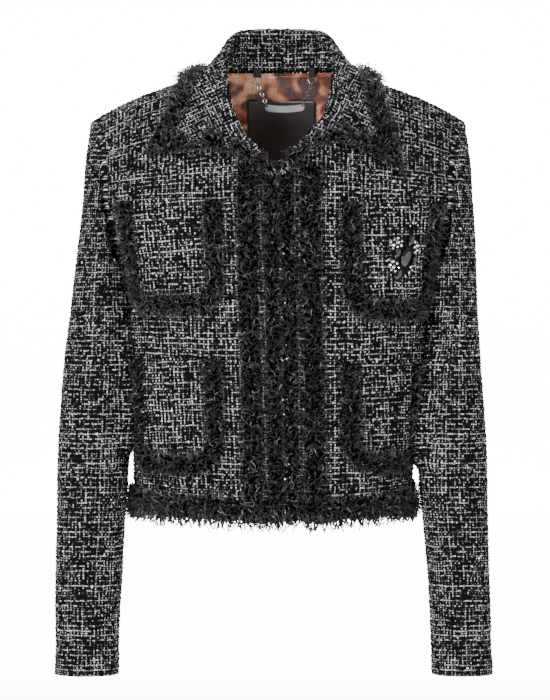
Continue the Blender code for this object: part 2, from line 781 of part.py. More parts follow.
# Fringe round the hem, outside the wall
bands = []
for (points, facing), columns in (
    (fine_fronts[-1], range(1, 41)), (fine_back, range(1, 80)), (fine_fronts[1], range(40, 0, -1)),
):
    for column in columns:
        bands.append(band_across(points[:, column], facing[:, column], HEM_BAND, 0.0, BAND_LIFT))
near, under, far, up = place(list(np.array(bands).transpose(1, 0, 2)), 49)
fringe("fringe_hem", near, under, far, up, 5.0, 9.0, ("far", "far_top"), RIBBON)

# Two strips of fringe down each front
STRIP_STATIONS = 20


def band_on(panel, begins, ends, lift):
    """Near, middle and far lines of a band on a front, and its normals, from (reach, z) pairs."""
    lines = [[], [], [], []]
    for (start, start_z), (end, end_z) in zip(begins, ends):
        lines[0].append(spot(panel, start, start_z, lift)[0])
        middle, normal = spot(panel, 0.5 * (start + end), 0.5 * (start_z + end_z), lift)
        lines[1].append(middle)
        lines[2].append(spot(panel, end, end_z, lift)[0])
        lines[3].append(normal)
    return lines


for side, hand in ((-1, "right"), (1, "left")):
    for name, start, end, top_z in FRONT_STRIPS:
        heights = np.linspace(top_z, STRIP_END_Z, STRIP_STATIONS)
        band = band_on(fine_fronts[side], [(start, z) for z in heights], [(end, z) for z in heights], BAND_LIFT)
        fringe(f"fringe_{name}_{hand}", *band, FRINGE_HEIGHT, 2.5, ("far_top", "near_top"), RIBBON)


# Patch pockets, rounded below, and the fringe round their sides and bottom
def pocket_outline(width, depth, inset, count):
    """The U of a pocket from its inner top corner round to its outer one, as reach and drop."""
    radius = POCKET_CORNER - inset
    points = [(inset, 0.0)]
    for centre_x, start in ((POCKET_CORNER, 180), (width - POCKET_CORNER, 270)):
        for turn in np.linspace(start, start + 90, 9):
            angle = math.radians(turn)
            points.append((centre_x + radius * math.cos(angle),
                           depth - POCKET_CORNER - radius * math.sin(angle)))
    points.append((width - inset, 0.0))
    flat = np.array([(x, drop, 0.0) for x, drop in points])
    return spread(flat, np.linspace(0, 1, count))[:, :2]


def pocket_drop(share, width, depth):
    """The pocket's bottom edge at a share of its width."""
    reach = min(share, 1 - share) * width
    if reach >= POCKET_CORNER:
        return depth
    return depth - POCKET_CORNER + math.sqrt(max(POCKET_CORNER ** 2 - (POCKET_CORNER - reach) ** 2, 0))


POCKET_SHARES = (0.0, 0.04, 0.12, 0.24, 0.36, 0.5, 0.64, 0.76, 0.88, 0.96, 1.0)
POCKET_ROWS = 6
BAND_STATIONS = 19
for name, side, inner_x, top_z, width, depth in POCKETS:
    panel = fine_fronts[side]
    start = reach_to(panel, side * inner_x, top_z - depth / 2)
    rows = []
    for row in range(POCKET_ROWS):
        drops = [pocket_drop(share, width, depth) * row / (POCKET_ROWS - 1) for share in POCKET_SHARES]
        rows.append([spot(panel, start + width * share, top_z - drop, LAID_ON)[0]
                     for share, drop in zip(POCKET_SHARES, drops)])
    cloth(f"pocket_{name}", np.array(rows), (side * 0.5, -1, 0), POCKET_CLOTH, TWEED, raised=True)
    ends = [(start + reach, top_z - drop) for reach, drop in pocket_outline(width, depth, 0.0, BAND_STATIONS)]
    begins = [(start + reach, top_z - drop)
              for reach, drop in pocket_outline(width, depth, POCKET_BAND, BAND_STATIONS)]
    band = band_on(panel, begins, ends, LAID_ON + POCKET_CLOTH + BAND_LIFT)
    fringe(f"fringe_pocket_{name}", *band, FRINGE_HEIGHT, 2.5, ("far_top", "near_top", "far"), RIBBON)


# Lining and label, seen through the neck
def inside(x, z, depth):
    """A spot `depth` mm inside the back's outer face."""
    points, facing = back
    middle = points.shape[1] // 2
    step = 1 if x >= 0 else -1
    half = (points[:, middle::step], facing[:, middle::step])
    return spot(half, reach_to(half, x, z), z, -depth)


LINING_DEPTH = CLOTH + 0.5
middle = back[0].shape[1] // 2
columns = slice(middle - 5, middle + 6)
drawn = back[0][BELOW_ROWS:, columns] - back[1][BELOW_ROWS:, columns] * LINING_DEPTH
drawn[-1] = 0.9 * drawn[-1] + 0.1 * drawn[-2]
cloth("back_lining", drawn, (0, 1, 0), LINING, PRINT)

rows = []
for z in np.linspace(LABEL_Z[0], LABEL_Z[1], 5):
    rows.append([inside(x, z, LINING_DEPTH + LINING + LAID_ON)[0] for x in np.linspace(*LABEL_X, 6)])
cloth("neck_label", np.array(rows), (0, 1, 0), LEATHER, BLACK_LEATHER)


# Jewelled closures: a dark drop on a small setting, over the meeting of the inner strips
def outline(half_width, half_height, point, count):
    """An oval that sharpens towards its ends as `point` falls from 2 to 1."""
    ring = []
    for step in range(count):
        turn = 2 * math.pi * step / count
        ring.append((half_width * power(math.cos(turn), 2 / point), half_height * power(math.sin(turn), 2 / 2.0)))
    return ring


def frame_at(point, normal, lean=0.0):
    """Across, up and out axes of a flat piece at a point, leaning clockwise by degrees."""
    out = normal / np.linalg.norm(normal)
    up = np.array((0, 0, 1.0)) - out * out[2]
    up /= np.linalg.norm(up)
    side_axis = np.cross(up, out)
    turn = math.radians(lean)
    return (point, side_axis * math.cos(turn) - up * math.sin(turn),
            up * math.cos(turn) + side_axis * math.sin(turn), out)


def stone(name, frame, half_width, half_height, thickness, point, finish, low=0.0, count=10):
    """A faceted stone: a foot, a girdle and a table."""
    origin, side_axis, up, out = frame
    rings = []
    for size, rise in ((0.8, 0.0), (1.0, 0.35), (0.62, 1.0)):
        ring = [origin + side_axis * x * size + up * y * size + out * (low + rise * thickness)
                for x, y in outline(half_width, half_height, point, count)]
        rings.append(ring)
    return loft(name, rings, finish)


for number, z in enumerate(JEWEL_ZS, 1):
    (one, first), (other, second) = (spot(fine_fronts[side], 0.2, z) for side in (-1, 1))
    frame = frame_at(0.5 * (one + other), first + second, lean=-8 if number % 2 else 10)
    stone(f"closure_jewel_{number}", frame, 3.0, 5.4, 3.2, 1.7, JET, low=JEWEL_LIFT)

# Brooch: a thin plate tangent to the pocket, with five dark stones on it
reach = reach_to(fine_fronts[1], BROOCH_X, BROOCH_Z)
plate_lift = LAID_ON + POCKET_CLOTH + 0.7
plate_point, plate_normal = spot(fine_fronts[1], reach, BROOCH_Z, plate_lift)
frame = frame_at(plate_point, plate_normal, lean=8)
origin, side_axis, up, out = frame
plate = [[origin + side_axis * x * size + up * y * size + out * rise
          for x, y in outline(*BROOCH_HALF, 2.0, 16)] for size, rise in ((0.92, 0.0), (1.0, 0.5), (0.92, 1.0))]
loft("brooch_plate", plate, GUNMETAL)
for name, sideways, upwards, half_width, half_height, lean, point in BROOCH_STONES:
    centre = origin + side_axis * sideways + up * upwards
    stone(f"brooch_stone_{name}", frame_at(centre, out, lean), half_width, half_height, 4.0, point, JET, low=1.3)


# Hanger: tabs and wire rings on the back neck, and two chains with a bar that swing together
stand = collar_grid[0][collar_grid[0][:, 1] > 0]
stand = stand[np.argsort(stand[:, 0])]


def stand_y(x):
    """Where the collar's stand meets the back neck, at its inner face."""
    return float(np.interp(x, stand[:, 0], stand[:, 1]))


def ring_frame(x):
    """The middle of a ring's lower wire, and the direction of the stand there."""
    lean = stand_y(x + TAB_WIDTH / 2) - stand_y(x - TAB_WIDTH / 2)
    along = np.array((TAB_WIDTH, lean, 0.0)) / math.hypot(TAB_WIDTH, lean)
    off = TAB_CLEAR + TAB_DEPTH / 2
    spot_y = min(stand_y(x - TAB_WIDTH / 2) + lean / 2, stand_y(x))
    return np.array((x, spot_y, HINGE_Z)) + np.array((along[1], -along[0], 0.0)) * off, along


def wire(name, points, radius, finish, shown=True):
    """A closed loop of round wire."""
    curve = bpy.data.curves.new(name, "CURVE")
    curve.dimensions = "3D"
    curve.bevel_depth = radius * MM
    curve.bevel_resolution = WIRE_SIDES
    line = curve.splines.new("POLY")
    line.points.add(len(points) - 1)
    for target, point in zip(line.points, points):
        target.co = (*(Vector(point) * MM), 1)
    line.use_cyclic_u = True
    made = bpy.data.objects.new(name, curve)
    mesh = bpy.data.meshes.new_from_object(made)
    bpy.data.objects.remove(made)
    mesh.materials.clear()
    if shown:
        return add_object(name, mesh, finish)
    made = bpy.data.objects.new(name, mesh)
    made.hide_render = True
    made.display_type = "WIRE"
    cutters.objects.link(made)
    return made


def cut(target, tool, operation):
    change = target.modifiers.new(operation.lower(), "BOOLEAN")
    change.operation = operation
    change.solver = "EXACT"
    change.object = tool


# half_width, rise above the lower wire, of the D ring
RING_SHAPE = ((0.0, 0.0), (3.0, 0.1), (4.6, 1.5), (5.2, 4.6), (5.2, RING_DROP))


def pin(name, centre, axis, radius, length, sides=12):
    """A round cutter along an axis."""
    axis = axis / np.linalg.norm(axis)
    first = np.cross(axis, (0, 0, 1.0) if abs(axis[2]) < 0.9 else (1.0, 0, 0))
    first /= np.linalg.norm(first)
    second = np.cross(axis, first)
    rings = []
    for end in (-0.5, 0.5):
        turns = [2 * math.pi * step / sides for step in range(sides)]
        rings.append([centre + axis * end * length + (first * math.cos(turn) + second * math.sin(turn)) * radius
                      for turn in turns])
    made = loft(name, rings, CHROME)
    jacket.objects.unlink(made)
    cutters.objects.link(made)
    made.hide_render = True
    made.display_type = "WIRE"
    return made


ends = []
for side, hand in ((-1, "right"), (1, "left")):
    bottom, along = ring_frame(HANGER_X + side * RING_APART)
    ends.append(bottom)
    up = np.array((0, 0, 1.0))
    back_of = np.cross(along, up)
    shape = [bottom + along * x * turn + up * rise for turn, part_of in
             ((1, RING_SHAPE), (-1, RING_SHAPE[:0:-1])) for x, rise in part_of]
    wire(f"ring_{hand}", shape, RING_WIRE, CHROME)
    tunnel = bottom + up * RING_DROP
    top = TAB_TOP - tunnel[2]
    corners = ((0.7, top), (1.0, top - 0.8), (1.0, top - TAB_HEIGHT + 1.0), (0.55, top - TAB_HEIGHT),
               (-0.55, top - TAB_HEIGHT), (-1.0, top - TAB_HEIGHT + 1.0), (-1.0, top - 0.8), (-0.7, top))
    tab = loft(f"tab_{hand}", [
        [tunnel + along * end * TAB_WIDTH / 2 + back_of * depth * TAB_DEPTH / 2 + up * rise
         for depth, rise in corners] for end in (-1, 1)], BLACK_TAPE)
    cut(tab, pin(f"tunnel_{hand}", tunnel, along, TUNNEL, 2 * TAB_WIDTH), "DIFFERENCE")

# The bar and chains, in the plane under the two rings
hinge = 0.5 * (ends[0] + ends[1])
across_bar = ends[1] - ends[0]
half_span = 0.5 * np.linalg.norm(across_bar)
across_bar /= 2 * half_span
forward = np.cross(across_bar, (0, 0, 1.0))
chain_length = LINK_STRAIGHT + (LINKS - 1) * LINK_PITCH + LINK_END
chain_drop = math.sqrt(chain_length ** 2 - (half_span - BAR_HOLE_X) ** 2)


def hanging(x, depth, z):
    """A point of the hanger: along it from its middle, towards the front, up from the hinge line."""
    return hinge + across_bar * x + forward * depth + np.array((0, 0, z))


def link(start, chain, number):
    """One stadium link, a pitch further along the chain than the one before it and a quarter turn from it."""
    flat = np.cross(forward, chain) if number % 2 else forward
    centre = start + chain * (LINK_STRAIGHT / 2 + number * LINK_PITCH)
    points = []
    for end in (-1, 1):
        for turn in np.linspace(-90, 90, 5):
            angle = math.radians(turn)
            points.append(centre + chain * end * (LINK_STRAIGHT / 2 + LINK_END * math.cos(angle))
                          + flat * end * LINK_END * math.sin(angle))
    return points


def chain_mesh(name, start, chain, numbers, shown):
    """Every other link of a chain as one mesh."""
    bm = bmesh.new()
    for number in numbers:
        piece = wire(f"{name}_{number}", link(start, chain, number), LINK_WIRE, CHROME, False)
        bm.from_mesh(piece.data)
        bpy.data.objects.remove(piece)
    mesh = mesh_from(bm, name)
    if shown:
        return add_object(name, mesh, CHROME)
    made = bpy.data.objects.new(name, mesh)
    made.hide_render = True
    made.display_type = "WIRE"
    cutters.objects.link(made)
    return made


swing = bpy.data.objects.new("hanger_swing", None)
swing.location = Vector(hinge) * MM
jacket.objects.link(swing)
swinging = []
for side, hand in ((-1, "right"), (1, "left")):
    start = hanging(side * half_span, 0, 0)
    chain = hanging(side * BAR_HOLE_X, 0, -chain_drop) - start
    chain /= np.linalg.norm(chain)
    odd = chain_mesh(f"chain_{hand}", start, chain, range(0, LINKS, 2), True)
    even = chain_mesh(f"links_{hand}", start, chain, range(1, LINKS, 2), False)
    cut(odd, even, "UNION")
    swinging.append(odd)

rings = []
for step in range(BAR_STATIONS):
    share = -1 + 2 * step / (BAR_STATIONS - 1)
    x = share * BAR_LENGTH / 2
    rise = BAR_SAG * (share ** 2 - (BAR_HOLE_X / (BAR_LENGTH / 2)) ** 2)
    half = BAR_HEIGHT / 2 * (1 - max(abs(share) - BAR_END_SHARE, 0) / (1 - BAR_END_SHARE) * BAR_END_TAPER)
    middle = -chain_drop + BAR_TOP - BAR_HEIGHT / 2 + rise
    rings.append([hanging(x, depth * BAR_THICK / 2, middle + up_share * half)
                  for depth, up_share in ((-1, -0.85), (-0.6, -1), (0.6, -1), (1, -0.85),
                                          (1, 0.85), (0.6, 1), (-0.6, 1), (-1, 0.85))])
bar = loft("hanger_bar", rings, CHROME)
for side, hand in ((-1, "right"), (1, "left")):
    hole = hanging(side * BAR_HOLE_X, 0, -chain_drop)
    cut(bar, pin(f"bar_hole_{hand}", hole, forward, BAR_HOLE, 6 * BAR_THICK), "DIFFERENCE")
swinging.append(bar)
bpy.context.view_layer.update()
for piece in swinging:
    piece.parent = swing
    piece.matrix_parent_inverse = swing.matrix_world.inverted()
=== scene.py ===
import functools
import math

import bmesh
import bpy
import numpy as np
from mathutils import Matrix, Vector
from mathutils.bvhtree import BVHTree


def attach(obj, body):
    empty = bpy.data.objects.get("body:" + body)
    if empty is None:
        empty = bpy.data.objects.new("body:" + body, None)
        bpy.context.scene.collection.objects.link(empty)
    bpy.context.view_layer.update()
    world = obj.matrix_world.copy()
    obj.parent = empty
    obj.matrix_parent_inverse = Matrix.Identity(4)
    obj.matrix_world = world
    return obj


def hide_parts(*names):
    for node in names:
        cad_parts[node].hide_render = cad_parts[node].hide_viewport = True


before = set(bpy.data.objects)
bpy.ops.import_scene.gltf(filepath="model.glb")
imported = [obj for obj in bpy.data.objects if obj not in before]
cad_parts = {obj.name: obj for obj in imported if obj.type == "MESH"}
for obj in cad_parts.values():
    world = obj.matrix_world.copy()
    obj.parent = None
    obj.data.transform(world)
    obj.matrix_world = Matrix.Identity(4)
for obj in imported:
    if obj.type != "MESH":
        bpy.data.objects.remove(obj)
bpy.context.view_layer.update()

MM = 0.001

# ---------------------------------------------------------------- Studio
# A long lens in front of the jacket at the height of its pockets, a pale floor that runs up into a
# backdrop, and large soft lights.
LENS_MM = 187.0
CAMERA_AT = (-0.0033, -4.0, -0.308)


def placed(name, data):
    """An object in the scene, at the origin."""
    made = bpy.data.objects.new(name, data)
    bpy.context.scene.collection.objects.link(made)
    return made


camera = placed("studio_camera", bpy.data.cameras.new("studio_camera"))
camera.data.lens = LENS_MM
camera.location = CAMERA_AT
camera.rotation_euler = (math.pi / 2, 0, 0)
bpy.context.scene.camera = camera


def colour(text):
    """A colour given as sRGB hex, in linear light with full alpha."""
    parts = [int(text[at:at + 2], 16) / 255 for at in (1, 3, 5)]
    return tuple(part / 12.92 if part <= 0.04045 else ((part + 0.055) / 1.055) ** 2.4
                 for part in parts) + (1.0,)


def add(tree, kind, inputs=None, out=0, stops=(), **settings):
    """Add a node with its settings, ramp stops, values and links, and return one of its outputs."""
    made = tree.nodes.new(kind)
    for name, value in settings.items():
        setattr(made, name, value)
    for key, value in (inputs or {}).items():
        if isinstance(value, bpy.types.NodeSocket):
            tree.links.new(value, made.inputs[key])
        else:
            made.inputs[key].default_value = value
    if stops:
        elements = made.color_ramp.elements
        for element, (position, text) in zip(tuple(elements), (stops[0], stops[-1])):
            element.position, element.color = position, colour(text)
        for position, text in stops[1:-1]:
            elements.new(position).color = colour(text)
    return made.outputs[out] if made.outputs else made


def plain_material(name, base, roughness, metallic=0.0):
    """A material with its uniform values on the shader, its tree and its shader node."""
    made = bpy.data.materials.new(name)
    made.use_nodes = True
    shader = made.node_tree.nodes["Principled BSDF"]
    shader.inputs["Base Color"].default_value = colour(base)
    shader.inputs["Roughness"].default_value = roughness
    shader.inputs["Metallic"].default_value = metallic
    return made, made.node_tree, shader


# Painted board: a smooth matt white, a little uneven, that glows by itself.
board, tree, shader = plain_material("matt_white_board", "#ffffff", 0.9)
place = add(tree, "ShaderNodeTexCoord", out=3)
grain = add(tree, "ShaderNodeTexNoise", {"Vector": place, "Scale": 3.0, "Detail": 2.0})
tone = add(tree, "ShaderNodeMapRange", {0: grain, 3: 0.94, 4: 1.0})
tree.links.new(add(tree, "ShaderNodeCombineColor", {0: tone, 1: tone, 2: tone}), shader.inputs["Base Color"])
shader.inputs["Emission Color"].default_value = colour("#ffffff")
# It glows most behind the jacket, and fades to the sides and towards the front.
GLOW_FRONT, GLOW_SIDE, GLOW_BEHIND = 0.6, 1.0, 12.0
GLOW_WIDTH, GLOW_DEPTH = (1.2, 2.6), (0.2, 1.4)
place = add(tree, "ShaderNodeSeparateXYZ", {0: place}).node.outputs
aside = add(tree, "ShaderNodeMath", {0: place[0]}, operation="ABSOLUTE")
behind = add(tree, "ShaderNodeMapRange", {
    0: aside, 1: GLOW_WIDTH[0], 2: GLOW_WIDTH[1], 3: GLOW_BEHIND, 4: GLOW_SIDE},
    interpolation_type="SMOOTHSTEP")
glow = add(tree, "ShaderNodeMapRange", {
    0: place[1], 1: GLOW_DEPTH[0], 2: GLOW_DEPTH[1], 3: GLOW_FRONT, 4: behind},
    interpolation_type="SMOOTHSTEP")
tree.links.new(glow, shader.inputs["Emission Strength"])

FLOOR_Z, FLOOR_HALF, BEND_Y, BEND_RADIUS, WALL_TOP = -0.78, 9.0, 7.6, 1.0, 6.0
profile = [(-FLOOR_HALF, FLOOR_Z), (0.0, FLOOR_Z), (BEND_Y, FLOOR_Z)]
profile += [(BEND_Y + BEND_RADIUS * math.sin(turn), FLOOR_Z + BEND_RADIUS - BEND_RADIUS * math.cos(turn))
            for turn in np.linspace(0.15, math.pi / 2, 10)]
profile += [(BEND_Y + BEND_RADIUS, WALL_TOP)]
sweep = bpy.data.meshes.new("studio_sweep")
sweep.from_pydata([(x, y, z) for y, z in profile for x in (-FLOOR_HALF, FLOOR_HALF)], [],
                  [(2 * k, 2 * k + 1, 2 * k + 3, 2 * k + 2) for k in range(len(profile) - 1)])
sweep.shade_smooth()
sweep.materials.append(board)
placed("studio_sweep", sweep)

world = bpy.data.worlds.new("studio_air")
bpy.context.scene.world = world
world.use_nodes = True
sky = world.node_tree.nodes["Background"].inputs
sky["Color"].default_value = colour("#ffffff")
sky["Strength"].default_value = 0.5
JACKET_MIDDLE = Vector((0, 0, -0.3))
# name, place, size in metres, watts
LAMPS = (
    ("key", (-1.6, -2.4, 1.4), 1.1, 208), ("fill", (1.9, -2.4, 0.5), 1.6, 70),
    ("top", (0.0, 0.3, 2.2), 1.4, 46), ("back", (0.6, 2.2, 0.6), 1.4, 20),
)
for name, spot_at, size, power in LAMPS:
    lamp = placed(name, bpy.data.lights.new(name, "AREA"))
    lamp.data.size = size
    lamp.data.energy = power
    lamp.location = spot_at
    lamp.rotation_euler = (JACKET_MIDDLE - lamp.location).to_track_quat("-Z", "Y").to_euler()


# ---------------------------------------------------------------- Body panels
# Two fronts and a back cut from wool-mix tweed and lined with printed satin. They meet edge to edge at the
# closure, the sides and the shoulders, and stand as a hollow shell in the shape of the wearer.
CLOTH = 2.4
SEAM = 0.3
HEM_FRONT_Z, HEM_SIDE_Z, HEM_BACK_Z = -487.0, -478.0, -484.0
UNDERARM_Z, CHEST_Z, V_BOTTOM_Z = -218.0, -150.0, -124.0
ARMHOLE_DEPTH = 62.0
SHOULDER_TIP_X = 198.0
NECK_SHIFT = 3.0
BACK_NECK_X = 62.0
BODY_ROUND = 2.35
SHOULDER_ROUND = 0.88
# z, half_width, centre_x, front, back
TORSO = (
    (-495, 152.0, -6.0, 112, 104), (-434, 153.5, -5.0, 110, 100), (-380, 157.5, -3.0, 108, 97),
    (-340, 160.5, -0.5, 110, 97), (-300, 164.5, 1.5, 112, 98), (-262, 168.5, 1.0, 114, 100),
    (-225, 171.5, 0.5, 115.5, 102), (CHEST_Z, 208.0, 0.0, 112, 104),
)
# x, z
SHOULDER_LINE = ((0, 20), (62, 0), (125, -20), (160, -33.5), (185, -45.5), (SHOULDER_TIP_X, -53))
# z, right_x, left_x
NECKLINE = (
    (V_BOTTOM_Z, 0, 0), (-112, 9, 10), (-100, 20, 22), (-86, 32, 32), (-76, 39, 40),
    (-53, 50, 53), (-37, 55, 58), (-20, 57, 61), (0, 59, 65),
)


def on_curve(rows, keys, at):
    """The row at `at` on a smooth curve through rows at their keys."""
    slopes = np.gradient(rows, keys, axis=0)
    low = min(int(np.searchsorted(keys, at, side="right")) - 1, len(keys) - 2)
    span = keys[low + 1] - keys[low]
    t = (at - keys[low]) / span
    start = (1 + 2 * t) * (1 - t) ** 2 * rows[low] + t * (1 - t) ** 2 * span * slopes[low]
    return start + t * t * (3 - 2 * t) * rows[low + 1] + t * t * (t - 1) * span * slopes[low + 1]


@functools.cache
def read(table, at):
    """Every column of a table where its first column is `at`, on a smooth curve through its rows."""
    rows = np.array(table, float)
    return on_curve(rows, rows[:, 0], min(max(at, rows[0, 0]), rows[-1, 0]))


def power_of(value, exponent):
    """A power that keeps its sign."""
    return math.copysign(abs(value) ** exponent, value)


def shoulder_z(x):
    return float(read(SHOULDER_LINE, abs(x))[1])


def closure_x(z):
    """Where the two fronts meet: the line leans towards the wearer's left at the hem."""
    return float(np.interp(z, (-484, V_BOTTOM_Z), (7.7, 0.0)))


def neckline_x(z, side):
    return side * float(read(NECKLINE, z)[2 if side > 0 else 1])


def section(z, side, angle):
    """A point of the body below the chest line: -90 degrees at the front, 0 at the side, 90 at the back."""
    _, half, centre, front, back = read(TORSO, z)
    turn = math.radians(angle)
    depth = front if angle < 0 else back
    x = centre + side * half * power_of(math.cos(turn), 2 / BODY_ROUND)
    return np.array((x, depth * power_of(math.sin(turn), 2 / BODY_ROUND), z))


def reach_at(x, face):
    """How far the chest (face -1) or the back (face 1) stands from the shoulder line at x."""
    _, half, _, front, back = read(TORSO, CHEST_Z)
    depth = front if face < 0 else back
    return depth * max(1 - abs(x / half) ** BODY_ROUND, 0) ** (1 / BODY_ROUND)


def over(x, angle):
    """A point above the chest line: -90 at the chest, 0 on top of the shoulder, 90 at the back."""
    face = -1 if angle < 0 else 1
    rise = math.radians(90 - abs(angle))
    lift = math.sin(rise) ** SHOULDER_ROUND
    y = face * reach_at(x, face) * max(math.cos(rise), 0) ** SHOULDER_ROUND
    return np.array((x, y, CHEST_Z + (shoulder_z(x) - CHEST_Z) * lift))


def over_angle(x, z, face):
    """The angle at which `over` passes a height."""
    share = min(max((z - CHEST_Z) / (shoulder_z(x) - CHEST_Z), 0), 1)
    return face * (90 - math.degrees(math.asin(share ** (1 / SHOULDER_ROUND))))


def over_normal(x, angle):
    step = 0.5
    sideways = over(x + step, angle) - over(x - step, angle)
    along = over(x, angle + step) - over(x, angle - step)
    normal = np.cross(sideways, along)
    return normal / np.linalg.norm(normal)


BELOW_ROWS = 64
LEVELS = (
    [("below", step / BELOW_ROWS) for step in range(BELOW_ROWS + 1)]
    + [("armhole", turn) for turn in np.linspace(0, 90, 21)[1:]]
    + [("over", rise) for rise in np.linspace(0, 90, 37)[1:]]
)
ROW_POINTS = 60


def armhole_x(rise, face):
    """The armhole edge above the chest line, in to the cross-front and out to the shoulder tip."""
    _, half, _, front, back = read(TORSO, CHEST_Z)
    depth = front if face < 0 else back
    chest = half * (1 - (ARMHOLE_DEPTH / depth) ** BODY_ROUND) ** (1 / BODY_ROUND)
    return chest + (SHOULDER_TIP_X - chest) * (rise / 90) ** 1.5


def closure_angle(z, side):
    """The section angle at the front edge, half a seam to its own side of the closure."""
    _, half, centre, _, _ = read(TORSO, z)
    local = side * (closure_x(z) - centre) + SEAM / 2
    return -math.degrees(math.acos(power_of(local / half, BODY_ROUND / 2)))


def low_row(kind, value, side, face):
    """Half a row below the chest line, from the centre to the side seam or the armhole."""
    z = UNDERARM_Z
    end = 0.0
    if kind == "armhole":
        turn = math.radians(value)
        z = CHEST_Z - (CHEST_Z - UNDERARM_Z) * math.cos(turn)
        _, _, _, front, back = read(TORSO, z)
        share = ARMHOLE_DEPTH * math.sin(turn) / (front if face < 0 else back)
        end = face * math.degrees(math.asin(share ** (BODY_ROUND / 2)))
    points = []
    for step in np.linspace(0, 1, ROW_POINTS):
        start = closure_angle(z, side) if face < 0 else 90.0
        angle = start + (end - start) * step
        z_here = z
        if kind == "below":
            middle_z = HEM_FRONT_Z if face < 0 else HEM_BACK_Z
            hem = HEM_SIDE_Z + (middle_z - HEM_SIDE_Z) * math.sin(math.radians(angle)) ** 2
            z_here = hem + (UNDERARM_Z - hem) * value
            start = closure_angle(z_here, side) if face < 0 else 90.0
            angle = start + (end - start) * step
        points.append(section(z_here, side, angle))
    return np.array(points)


def back_rise(x):
    """The highest angle of the back at x: the shoulder seam, or the back neckline between the neck points."""
    local = abs(x - NECK_SHIFT)
    if local >= BACK_NECK_X:
        return 90.0
    neckline_z = 1.5 * (1 - (local / BACK_NECK_X) ** 2)
    share = (neckline_z - CHEST_Z) / (shoulder_z(x) - CHEST_Z)
    return math.degrees(math.asin(min(share, 1) ** (1 / SHOULDER_ROUND)))


def high_row(rise, side, face):
    """Half a row above the chest line, from the centre or the neckline to the armhole."""
    end = armhole_x(rise, face)
    start = 0.0
    if face < 0:
        start = SEAM / 2
        for _ in range(40):
            z = over(side * start, -(90 - rise))[2]
            start = 0.5 * start + 0.5 * max(side * neckline_x(z, side), SEAM / 2)
    points = []
    for x in np.linspace(start, end, ROW_POINTS):
        angle = 90 - rise
        if face > 0:
            angle = 90 - rise * back_rise(side * x) / 90
        point = over(side * x, face * angle)
        point[1] = face * max(face * point[1], SEAM / 2)
        points.append(point)
    return np.array(points)


def lengths(points):
    """Distances along a line of points, from its start."""
    steps = np.linalg.norm(np.diff(points, axis=0), axis=1)
    return np.concatenate(([0.0], np.cumsum(steps)))


def between(at, keys, line):
    """A line's points where its keys are `at`, straight from one to the next."""
    return np.stack([np.interp(at, keys, column) for column in line.T], axis=-1)


def spread(points, shares, trim=0.0):
    """Points at shares of a line's length, with its end trimmed for a seam."""
    length = lengths(points)
    return between(np.array(shares) * (length[-1] - trim), length, points)


def half_row(level, side, face, shares):
    kind, value = level
    if kind == "over":
        return spread(high_row(value, side, face), shares)
    return spread(low_row(kind, value, side, face), shares, SEAM / 2 if kind == "below" else 0.0)


def grid_normals(points, outward=None, closed=False):
    """Normals of a grid of points, turned away from the hollow."""
    if closed:
        sideways = np.roll(points, -1, axis=1) - np.roll(points, 1, axis=1)
    else:
        sideways = np.gradient(points, axis=1)
    normals = np.cross(sideways, np.gradient(points, axis=0))
    normals /= np.maximum(np.linalg.norm(normals, axis=2, keepdims=True), 1e-9)
    if closed:
        away = np.sum(normals * (points - points.mean(axis=1, keepdims=True)))
    else:
        away = np.dot(normals[points.shape[0] // 2, points.shape[1] // 2], outward)
    return normals if away > 0 else -normals


def pressed(points, normals, flat, folds, fade):
    """Soft troughs and ridges: each fold runs between two spots of `flat` with a width and a rise in mm."""
    moved = np.zeros(points.shape[:2])
    for x0, z0, x1, z1, width, rise in folds:
        along = np.array((x1 - x0, z1 - z0), float)
        length = np.linalg.norm(along)
        local = flat - np.array((x0, z0))
        share = np.clip(local @ along / length ** 2, 0, 1)
        off = np.linalg.norm(local - share[..., None] * along, axis=-1)
        bend = 0.25 * width * np.sin(3.0 * share + x0)
        moved += rise * np.exp(-((off + bend * 0.4) / width) ** 2) * np.sin(np.pi * (0.12 + 0.76 * share))
    ripple = np.sin(flat[..., 0] / 21 + 1.7 * np.sin(flat[..., 1] / 47)) * np.sin(flat[..., 1] / 33 + 0.6)
    moved += 0.45 * ripple
    return points + normals * (moved * fade)[..., None]


def quads_of(grid, closed=False):
    """The corners of each cell of a grid, which may join up sideways, as numbers of its points."""
    index = np.arange(grid.shape[0] * grid.shape[1]).reshape(grid.shape[:2])
    if closed:
        index = np.concatenate((index, index[:, :1]), axis=1)
    return np.stack((index[:-1, :-1], index[:-1, 1:], index[1:, 1:], index[1:, :-1]), axis=-1).reshape(-1, 4)


def skin(name, points, uv, finish, closed=False):
    """A grid of points in mm as a mesh with its cloth coordinates in metres."""
    mesh = bpy.data.meshes.new(name)
    mesh.from_pydata((points.reshape(-1, 3) * MM).tolist(), [], quads_of(points, closed).tolist())
    layer = mesh.uv_layers.new(name="cloth")
    layer.data.foreach_set("uv", (uv.reshape(-1, 2)[quads_of(uv).ravel()] * MM).astype(np.float32).ravel())
    for material in finish:
        mesh.materials.append(material)
    return placed(name, mesh)


def settled(made, smooth=True):
    """The piece with its modifiers made part of its mesh."""
    bpy.context.view_layer.update()
    shape = bpy.data.meshes.new_from_object(made.evaluated_get(bpy.context.evaluated_depsgraph_get()))
    made.modifiers.clear()
    made.data = shape
    if smooth:
        shape.shade_smooth()
    return made


def outward(mesh, facing):
    """Turn a skin to face the way given."""
    bm = bmesh.new()
    bm.from_mesh(mesh)
    bm.normal_update()
    bm.faces.ensure_lookup_table()
    given = np.asarray(facing, float)
    total = sum(face.normal.dot(Vector(given[face.index])) for face in bm.faces)
    if total < 0:
        bmesh.ops.reverse_faces(bm, faces=bm.faces[:])
    bm.to_mesh(mesh)
    bm.free()


